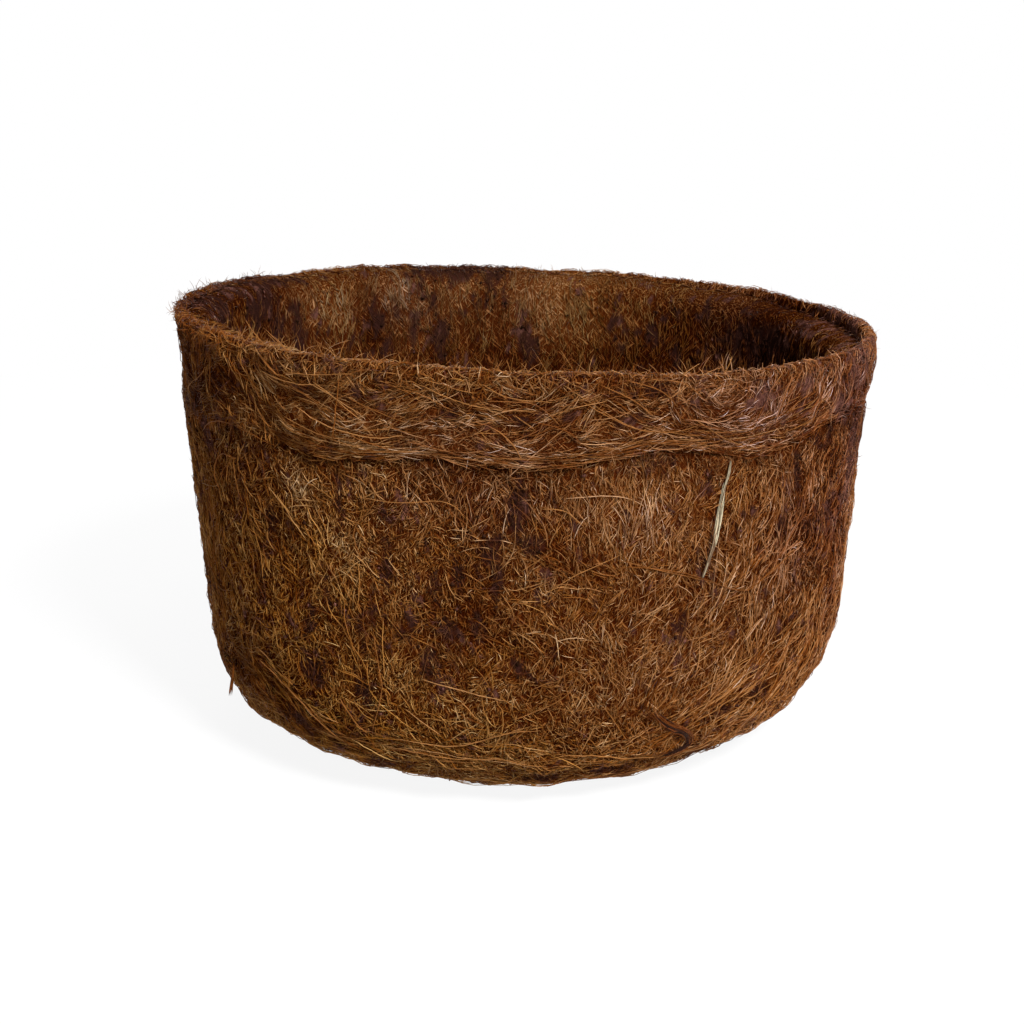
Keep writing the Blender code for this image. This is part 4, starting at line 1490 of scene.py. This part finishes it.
def makeFlatFibres():
    # On the floor inside and on the underside
    rng = np.random.default_rng(500)
    style = dict(liningFibres["under"], number=3600, bend=60.0, tone=0.46)
    for name, skin, reach, flat in (("floorFibres", floorSkin, 0.060, 1.0),
                                    ("underFibres", underSkin, 0.082, 0.3)):
        number = style["number"]
        angle = anyAngle(rng, number)
        along = reach * np.sqrt(rng.uniform(0.002, 1, number))
        placed = dict(style, level=(-0.0001, 0.0003 * flat), arch=0.0003 * flat)
        bundle = tufts(rng, skin, angle, along, rng.uniform(0, math.pi, number), placed)
        addFibres(name, [bundle])


makeFlatFibres()


# Fibres laid where the photograph shows them, on the wall and then on the collar: half
# width in mm, tone, and the angles in degrees and heights in mm of the points in turn
laidFibres = (
    (0.18, 0.62, -88, 108.8, -84.5, 107.6, -81.6, 102.5),
    (0.18, 0.62, -86.7, 82.5, -81.4, 88.7, -76.3, 93.5),
    (0.2, 0.44, -80, 89, -73.2, 88.7, -65, 84.1, -54.9, 74.9, -47.9, 79.3, -41.8, 84.3),
    (0.22, 0.68, -106, 51.6, -99.4, 48.2, -92.5, 45.5), (0.18, 0.66, -108.5, 40, -102.9, 31.2),
    (0.18, 0.62, -99.8, 44.6, -96.3, 36.7),
    (0.2, 0.5, -113, 67, -112.3, 55, -112, 45, -114.9, 27.5),
    (0.2, 0.52, -138.2, 44, -130, 36.2, -119.2, 19.7),
    (0.18, 0.5, -77.5, 92.1, -70.9, 87.6, -62.3, 81.1),
    (0.17, 0.6, -115.5, 109.5, -107, 109, -101, 110, -98, 104.5),
    (0.22, 0.52, -89.2, 106.5, -88, 99), (0.24, 0.5, -120, 40, -117.5, 33, -115.5, 28),
    (0.18, 0.64, -112, 28, -105, 27, -100, 28, -95, 31.5, -90, 36),
    (0.16, 0.58, -103, 26, -97, 30, -92, 34, -87, 35),
    (0.18, 0.56, -92.5, 38, -88, 42, -84, 47, -82, 54), (0.17, 0.6, -66, 30, -60, 38, -52, 45),
    (0.17, 0.56, -64, 28, -56, 36, -46, 42), (0.16, 0.6, -60, 27, -52, 33, -45, 37),
    (0.17, 0.58, -63, 42, -56, 47, -49, 52), (0.18, 0.48, -84.5, 60, -84, 52, -83, 44),
    (0.24, 0.46, -144.5, 98, -145.8, 106, -143, 112.5, -138, 113),
    (0.17, 0.6, -86, 24, -80, 24.5, -73, 21, -66, 17.5),
    (0.17, 0.58, -112, 24, -104, 22.5, -95, 23, -86, 21),
    # Painted shadow: these four dark fibres run along the husk strip and above it, as the strip's
    # shadow on the wall
    (0.26, 0.26, -68.4, 55, -69.3, 48, -70.8, 42.8, -70.9, 39.2, -68.8, 34.6, -66.7, 32.1),
    (0.22, 0.34, -68, 52, -69.6, 46, -70.2, 42, -70.3, 38.6, -68.2, 35, -65.7, 32),
    (0.24, 0.22, -69.4, 50, -70.6, 45.5, -71.5, 41.5, -71.3, 38.2, -69.2, 34),
    (0.18, 0.38, -67, 58, -69, 51, -70.9, 45, -71.2, 40),
    (0.2, 0.64, -124, 137, -120, 133, -115, 130, -110, 129, -106.5, 130.5),
    (0.18, 0.66, -121, 144, -117, 141, -112, 135),
    (0.16, 0.62, -120, 144.5, -116.5, 140.5, -112.5, 133.5),
    (0.22, 0.44, -115.5, 146, -116.2, 136, -117, 127),
    (0.18, 0.6, -125, 145.5, -119, 146.5, -113, 148),
    (0.17, 0.62, -130, 145, -124, 143, -118, 143.5), (0.24, 0.56, -91.5, 138, -88.8, 133.5),
    (0.18, 0.52, -83.5, 143, -79, 137, -75, 133, -70, 131, -65, 132.5),
    (0.16, 0.56, -82, 142, -77, 135, -72, 130.5), (0.18, 0.5, -80.5, 147, -76, 142, -72.5, 136),
    (0.17, 0.48, -77, 148, -72, 144, -69, 138), (0.17, 0.5, -74, 148, -69, 146, -65.5, 141),
    (0.16, 0.56, -67, 135, -62, 128, -57, 123),
    (0.18, 0.44, -150, 117, -143.5, 123.5, -136, 124, -128, 121),
    (0.17, 0.6, -105, 147, -99, 142, -93, 139), (0.17, 0.58, -96, 147.5, -92, 143, -86, 141.5),
)


def laidStrand(path, points, side, lift, arch):
    # A strand along a path of (angle in degrees, height in mm) on the outside, moved sideways
    # and out
    spots = smoothed(path, points)
    angle = np.radians(spots[:, 0])
    along = outerAlong(spots[:, 1] / 1000)
    radius = outerSkin(angle, along)[2]
    run = np.stack([np.gradient(angle) * radius, np.gradient(along)], axis=1)
    run = unit(run)
    angle = angle - run[:, 1] * side / radius
    along = along + run[:, 0] * side
    place, outward, _ = footSkin(angle, along)
    share = np.linspace(0, 1, points)
    proud = 0.0016 * np.clip((place[:, 2] - collarEdge(angle)) / 0.002, 0, 1)
    rise = lift + arch * np.sin(math.pi * share) + relief(place) + proud
    return place + outward * rise[:, None], outward


def laidBundle(rng, rows, points):
    # rows are (path, sideways, lift, arch, half width, tone or colour)
    centres, outs, thick, tint = [], [], [], []
    share = np.linspace(0, 1, points)
    for path, side, lift, arch, half, tone in rows:
        place, outward = laidStrand(path, points, side, lift, arch)
        centres.append(place)
        outs.append(outward)
        thick.append(half * (1 - 0.5 * np.abs(2 * share - 1) ** 3))
        shade = fibreShade(tone) if np.isscalar(tone) else np.array(tone)
        tint.append(shade[None, :] * rng.uniform(0.7, 1.15, (points, 1)))
    return tuple(np.array(part) for part in (centres, outs, thick, tint))


def partOf(path, low, high):
    spots = smoothed(path, 61)
    return spots[np.round(np.linspace(low, high, 5) * 60).astype(int)]


def swathBundle(rng, points):
    rows = []
    for wide, number, *path in swaths:
        for start, reach, side in zip(rng.uniform(-0.1, 0.9, number),
                                      rng.uniform(0.08, 0.24, number),
                                      rng.normal(0, wide * 0.0005, number)):
            part = partOf(path, max(0.0, start), min(1.0, start + reach))
            part[:, 1] += np.linspace(-1, 1, len(part)) * rng.normal(0, 0.8)
            rows.append((part, side, rng.uniform(0.0002, 0.0007), 0.0002,
                         rng.uniform(0.00008, 0.00013),
                         np.clip(0.52 + rng.normal(0, 0.12), 0.1, 0.9)))
    return laidBundle(rng, rows, points)


def makeLaidFibres():
    rng = np.random.default_rng(600)
    rows = [(path, 0.0, 0.0008, 0.0003, half / 1000, tone) for half, tone, *path in laidFibres]
    addFibres("laidFibres", [laidBundle(rng, rows, 14), swathBundle(rng, 8)])


makeLaidFibres()


# Bits of husk: each a bundle of splinters along the path of its solid

paleShade = (0.300, 0.190, 0.115)
creamShade = (0.580, 0.490, 0.330)
darkHuskShade = (0.028, 0.0110, 0.0075)
redHuskShade = (0.140, 0.0400, 0.0110)

sliver = {
    "path": ((-59.6, 119.6), (-60.3, 110.0), (-61.1, 98.5), (-61.8, 91.0), (-63.0, 82.0)),
    "splinters": 32,
    "wide": 0.0011,
    "half": (0.00014, 0.00030),
    "cracks": ((-0.0010, 0.35, 0.95), (0.0010, 0.45, 0.85)),
}
strip = {
    "path": ((-71.0, 47.0), (-69.4, 37.5), (-66.1, 31.4), (-63.1, 28.0), (-61.2, 23.0),
             (-62.3, 19.8), (-66.8, 17.2)),
    "splinters": 8,
    "wide": 0.0010,
    "half": (0.00018, 0.00030),
    "fibres": 12,
}
spike = {
    "angle": math.radians(-148.5),
    "height": 0.0345,
    "length": 0.0135,
    "splay": math.radians(8),
    "splinters": 5,
    "half": (0.00018, 0.00034),
}


def makeSliver():
    rng = np.random.default_rng(701)
    rows = []
    for index in range(sliver["splinters"]):
        middle = (index + 0.5) / sliver["splinters"]
        reach = rng.uniform(0.10, 0.22)
        low, high = max(0.0, middle - reach), min(1.0, middle + reach)
        broad = 0.25 + 0.75 * math.exp(-((middle - 0.52) / 0.28) ** 2)
        side = rng.uniform(-1, 1) * sliver["wide"] * broad
        clean = math.exp(-((middle - 0.45) / 0.22) ** 2)
        shade = np.array(creamShade if rng.uniform() < 0.15 + 0.75 * clean else paleShade)
        light = (0.80, 1.0) if rng.uniform() < 0.3 + 0.6 * clean else (0.25, 0.6)
        shade = shade * rng.uniform(*light)
        rows.append((partOf(sliver["path"], low, high), side, rng.uniform(0.0004, 0.0009), 0.0002,
                     rng.uniform(*sliver["half"]), shade))
    for side, low, high in sliver["cracks"]:
        rows.append((partOf(sliver["path"], low, high), side, 0.0002, 0.0002, 0.00018,
                     darkHuskShade))
    addFibres("huskSliver", [laidBundle(rng, rows, 10)], huskFibre, "husk_sliver")


def makeStrip():
    rng = np.random.default_rng(702)
    rows = []
    for _ in range(strip["splinters"]):
        side = rng.uniform(-1, 1) * strip["wide"]
        shade = np.array(darkHuskShade) * rng.uniform(0.5, 1.4)
        rows.append((partOf(strip["path"], rng.uniform(0.1, 0.25), rng.uniform(0.85, 1.0)), side,
                     rng.uniform(0.0006, 0.0012), 0.0003, rng.uniform(*strip["half"]), shade))
    for _ in range(strip["fibres"]):
        side = rng.uniform(-1, 1) * strip["wide"] * 1.4
        start = rng.uniform(0.0, 0.5)
        rows.append((partOf(strip["path"], start, min(1.0, start + rng.uniform(0.35, 0.6))), side,
                     rng.uniform(0.0009, 0.0014), 0.0003, 0.00014,
                     np.array(redHuskShade) * rng.uniform(0.8, 1.6)))
    addFibres("huskStrip", [laidBundle(rng, rows, 16)], huskFibre, "husk_strip")


def makeSpike():
    rng = np.random.default_rng(703)
    count, points = spike["splinters"], 7
    angle = np.full(1, spike["angle"])
    root, outward, _ = outerSkin(angle, outerAlong(np.full(1, spike["height"])))
    level = np.array([math.cos(spike["angle"]), math.sin(spike["angle"]), 0.0])
    across = np.array([-level[1], level[0], 0.0])
    share = np.linspace(0, 1, points)
    centres, outs = [], []
    for _ in range(count):
        splay = spike["splay"] + rng.normal(0, 0.06)
        down = level * math.sin(splay) - np.array([0, 0, math.cos(splay)])
        start = (root[0] + outward[0] * 0.0009 + across * rng.uniform(-0.0004, 0.0004)
                 + level * rng.uniform(0, 0.0004))
        reach = spike["length"] * rng.uniform(0.6, 1.0)
        centres.append(start + down[None, :] * reach * share[:, None])
        outs.append(np.repeat(level[None, :], points, axis=0))
    thick = thickness(rng, count, points, *spike["half"])
    tint = np.array(fibreShade(0.38))[None, None, :] * rng.uniform(0.7, 1.4, (count, points, 1))
    bundle = (np.array(centres), np.array(outs), thick, tint)
    addFibres("huskSpike", [bundle], huskFibre, "husk_spike")


huskFibre = fibreFinish("huskFibre", 0.45)
makeSliver()
makeStrip()
makeSpike()


# Stray fibres that stand off the rim, and short fuzz all over

strays = {
    "lip": {"number": 320, "from": (-150, -60), "length": (0.002, 0.006), "points": 6},
    "right": {"number": 60, "from": (-60, -20), "length": (0.001, 0.004), "points": 6},
    "left": {"number": 160, "from": (150, 215), "length": (0.0015, 0.004), "points": 6},
    "back": {"number": 160, "from": (-20, 155), "length": (0.001, 0.0025), "points": 5},
    "fuzz": {"number": 2400, "from": (-180, 180), "length": (0.0008, 0.0025), "points": 4},
}


# Each is the angle of its foot on the lip, how far it reaches sideways, up and out (in mm), how
# much it bows, its half width in mm and its tone
lipStrays = (
    (-128.5, -9.5, 8.5, 0.5, 1.5, 0.15, 0.52), (-124, -10.5, 7, 0.5, 1.5, 0.15, 0.5),
    (-119, 12.5, 7, 1.5, 2, 0.15, 0.56), (-137.5, -7, 4, 0, 1, 0.14, 0.48),
    (-94.2, 2.5, 5, 0.5, 0.5, 0.16, 0.5), (-91.9, -1.5, 5, 0.5, 0.4, 0.16, 0.52),
    (-90.6, 1.5, 4.2, 0.5, 0.3, 0.15, 0.56), (-96, -3, 4, 0.5, 0.5, 0.14, 0.48),
    (-71.7, -4, 4.4, 0, 0.8, 0.16, 0.52), (-68.9, 7, 3.8, 0, 1, 0.18, 0.6),
    (-61.9, 3, 5.6, 0, 1, 0.2, 0.58), (-83.9, 4.5, 1.5, 0.8, 1.6, 0.15, 0.54),
    (-81.3, -4, 2.5, 0.5, 1, 0.14, 0.5), (-114, 5, 3.5, 1, 1, 0.15, 0.58),
    (-109.5, -4, 3.5, 0.8, 0.8, 0.15, 0.52), (-104, 6, 2.5, 1, 1.2, 0.14, 0.56),
    (-100, 3, 3.5, 0.5, 0.8, 0.15, 0.5), (-51, 1, 3.2, 0, 0.5, 0.14, 0.5),
    (-37, -0.5, 2.6, 0, 0.4, 0.13, 0.5), (-76, 5, 2, 0.8, 1, 0.15, 0.54),
    (-87.5, -3.5, 3, 0.6, 0.8, 0.14, 0.5), (-122, 7, 4, 1.2, 1.5, 0.15, 0.56),
)


def lipStrayBundle(rng, points):
    table = np.array(lipStrays)
    angle = np.radians(table[:, 0])
    sideways, up, out, bow, half, tone = table[:, 1:].T
    place, outward, _ = collarSkin(angle, collarFace(angle) + 0.0015)
    level = np.stack([np.cos(angle), np.sin(angle), 0 * angle], axis=1)
    across = np.stack([-np.sin(angle), np.cos(angle), 0 * angle], axis=1)
    reach = (across * sideways[:, None] + level * out[:, None]
             + np.array([0, 0, 1.0]) * up[:, None]) / 1000
    share = np.linspace(0, 1, points)
    rise = np.sin(math.pi * share)[None, :, None] * (level + np.array([0, 0, 0.6]))[:, None, :]
    centres = ((place - outward * 0.0006)[:, None, :] + reach[:, None, :] * share[None, :, None]
               + rise * bow[:, None, None] / 1000)
    outs = np.repeat(level[:, None, :], points, axis=1)
    thick = half[:, None] / 1000 * (1 - 0.5 * share ** 2)[None, :]
    tint = fibreShade(tone)[:, None, :] * rng.uniform(0.8, 1.15, (len(angle), points, 1))
    return centres, outs, thick, tint


def makeStrays():
    rng = np.random.default_rng(800)
    bundles = [lipStrayBundle(rng, 8)]
    for kind, style in strays.items():
        count, points = style["number"], style["points"]
        angle = np.radians(rng.uniform(*style["from"], count))
        if kind == "fuzz":
            skin = outerSkin
            low, high = outerAlong(0.006), outerAlong(0.120)
            along = low + (high - low) * rng.uniform(0, 1, count)
        else:
            skin = collarSkin
            along = collarFace(angle) + rng.uniform(-0.001, 0.005, count)
        place, outward, _ = skin(angle, along)
        way = outward + rng.normal(0, 1, (count, 3)) * (0.9 if kind == "fuzz" else 0.6)
        if kind != "fuzz":
            way[:, 2] = np.abs(way[:, 2]) + 0.10
        way = unit(way)
        curl = np.cross(way, rng.normal(0, 1, (count, 3)))
        length = rng.uniform(*style["length"], count)
        share = np.linspace(0, 1, points)[None, :, None]
        start = place - outward * 0.0004
        centres = (start[:, None, :] + way[:, None, :] * length[:, None, None] * share
                   + curl[:, None, :] * (length * 0.65)[:, None, None] * share ** 2)
        outs = np.repeat(np.cross(way, np.array([0.3, 0.2, 0.9]))[:, None, :], points, axis=1)
        taper = 1 - 0.5 * np.linspace(0, 1, points)
        thick = rng.uniform(0.00009, 0.00015, count)[:, None] * taper[None, :]
        tint = strandTint(rng, centres, np.full(count, 0.55), {"toneNoise": 0.12})
        bundles.append((centres, outs, thick, tint))
    addFibres("strayFibres", bundles)


makeStrays()


# Flakes of pith that lie among the fibres, thickest in the smudges and painted shadows

flakes = {
    "tries": 16000,
    "size": (0.0003, 0.0009),
    "sides": 6,
    "shade": (0.022, 0.0085, 0.0045),
    "inside": 0.3,
    "heights": (0.012, 0.121),
    "clean": 0.03,
    "stainedAndShaded": 0.75,
    "top": 0.00022,
    "root": 0.00035,
}


def flakeFinish():
    finish = Finish("pithFlake", Roughness=0.9, Specular_IOR_Level=0.0)
    where = finish.place()
    finish.feed("Base Color", finish.attribute("tint", "Color"))
    finish.feed("Normal", finish.bump(finish.noise(where, 1800.0, 3.0), 0.8, 0.0003))
    return finish.material


def makeFlakes():
    rng = np.random.default_rng(900)
    tries, sides = flakes["tries"], flakes["sides"]
    angle = anyAngle(rng, tries)
    inside = rng.uniform(0, 1, tries) < flakes["inside"]
    low, high = (outerAlong(height) for height in flakes["heights"])
    along = low + (high - low) * rng.uniform(0, 1, tries)
    _, _, ledge, drop = liningLengths(angle)
    depth = (ledge + shoulderBend * quarter + drop) * rng.uniform(0, 1, tries) ** 1.3
    outer, outerWay, _ = outerSkin(angle, along)
    inner, innerWay, _ = liningSkin(angle, depth)
    place = np.where(inside[:, None], inner, outer)
    outward = np.where(inside[:, None], innerWay, outerWay)
    smudge, pith = smudgeAndShadowAt(place), pithAt(place)
    keep = rng.uniform(0, 1, tries) < flakes["clean"] + flakes["stainedAndShaded"] * np.maximum(smudge, pith)
    place, outward, pith = place[keep], outward[keep], pith[keep]
    count = len(place)
    side = unit(np.cross(outward, rng.normal(0, 1, (count, 3))))
    across = np.cross(outward, side)
    place = place + outward * (relief(place) + rng.uniform(0.0, 0.0008, count))[:, None]
    size = rng.uniform(*flakes["size"], count)
    stretch = rng.uniform(0.5, 1.0, count)
    ring = []
    for corner in range(sides):
        turn = 2 * math.pi * corner / sides + rng.normal(0, 0.2, count)
        reach = size * rng.uniform(0.6, 1.2, count)
        flat = (side * (np.cos(turn) * reach)[:, None]
                + across * (np.sin(turn) * reach * stretch)[:, None])
        ring.append(place + flat + outward * rng.uniform(-0.00025, 0.00005, count)[:, None])
    top = place + outward * flakes["top"]
    root = place - outward * flakes["root"]
    verts = np.stack(ring + [top, root], axis=1)
    faces = []
    for corner in range(sides):
        following = (corner + 1) % sides
        faces += [corner, following, sides, following, corner, sides + 1]
    corners = (np.array(faces)[None, :] + (np.arange(count) * (sides + 2))[:, None]).ravel()
    share = np.clip(pith * 1.4, 0, 1)[:, None]
    shade = np.array(flakes["shade"]) * (1 - share) + np.array(pithShade) * share
    shade = shade * rng.uniform(0.4, 1.2, (count, 1))
    addMesh("pithFlakes", verts.reshape(-1, 3), corners, np.full(len(corners) // 3, 3),
            np.repeat(shade, sides + 2, axis=0), flakeFinish())
    print("flakes", count)


makeFlakes()


# Studio: pale floor, soft lamps and the camera

studio = {
    "floorSize": 12.0,
    "floorWhite": 0.80,
    "floorGlow": 0.90,
    "shadowReach": 0.55,
    "worldLevel": 0.17,
    "cameraSide": -0.0010,
    "cameraAway": 0.5466,
    "cameraHeight": 0.2352,
    "cameraPitch": 0.292,
    "cameraRoll": 0.005,
    "focalPixels": 1500.0,
    "frameSide": 1024.0,
    "centreOffset": 10.0,
    "lamps": (
        # name, place, size, power
        ("keyLamp", (0.52, -0.92, 0.95), 0.26, 36.0),
        ("fillLamp", (-0.7, -0.9, 0.45), 1.0, 1.6),
        ("topLamp", (0.10, -0.05, 1.15), 0.7, 3.4),
        ("backLamp", (-0.15, 1.25, 0.50), 1.0, 15.0),
    ),
}


def makeFloor():
    deselect()
    bpy.ops.mesh.primitive_plane_add(size=studio["floorSize"], location=(0, 0, -0.0006))
    floor = bpy.context.object
    floor.name = "floor"
    white = (studio["floorWhite"],) * 3
    finish = Finish("paleFloor", Roughness=0.9, Base_Color=(*white, 1.0), Specular_IOR_Level=0.0)
    glow = finish.node("Emission", 0, None, Color=(1.0, 1.0, 1.0, 1.0))
    away = finish.node("VectorMath", "Value", {"operation": "LENGTH"}, i0=finish.place())
    clear = (away * (1 / studio["shadowReach"]) - 0.3).clamped()
    share = clear * (1 - studio["floorGlow"]) + studio["floorGlow"]
    lit = Wire(finish.tree, finish.shader.outputs["BSDF"])
    mixed = finish.node("MixShader", 0, None, i0=finish.seenDirectly() * share, i1=lit, i2=glow)
    finish.tree.links.new(mixed.socket, finish.tree.nodes["Material Output"].inputs["Surface"])
    floor.data.materials.append(finish.material)


def makeWorld():
    world = bpy.data.worlds.new("studio")
    bpy.context.scene.world = world
    world.use_nodes = True
    sky = NodeTree(world.node_tree)
    level = sky.seenDirectly() * (1 - studio["worldLevel"]) + studio["worldLevel"]
    back = world.node_tree.nodes["Background"]
    back.inputs["Color"].default_value = (1.0, 1.0, 1.0, 1.0)
    world.node_tree.links.new(level.socket, back.inputs["Strength"])


def makeLamps():
    for name, place, size, power in studio["lamps"]:
        data = bpy.data.lights.new(name, "AREA")
        data.size = size
        data.energy = power
        lamp = bpy.data.objects.new(name, data)
        lamp.location = place
        towards = Vector((0, 0, 0.08)) - Vector(place)
        lamp.rotation_euler = towards.to_track_quat("-Z", "Y").to_euler()
        bpy.context.scene.collection.objects.link(lamp)


def makeCamera():
    data = bpy.data.cameras.new("camera")
    data.sensor_width = 36.0
    data.lens = studio["focalPixels"] * data.sensor_width / studio["frameSide"]
    data.shift_x = -studio["centreOffset"] / studio["frameSide"]
    camera = bpy.data.objects.new("camera", data)
    bpy.context.scene.collection.objects.link(camera)
    tilt = Matrix.Rotation(quarter - studio["cameraPitch"], 4, "X")
    roll = Matrix.Rotation(studio["cameraRoll"], 4, "Z")
    place = (studio["cameraSide"], -studio["cameraAway"], studio["cameraHeight"])
    place = Matrix.Translation(place)
    camera.matrix_world = place @ tilt @ roll
    bpy.context.scene.camera = camera


makeFloor()
makeWorld()
makeLamps()
makeCamera()
bpy.context.scene.view_settings.view_transform = "Standard"
print("studio set")
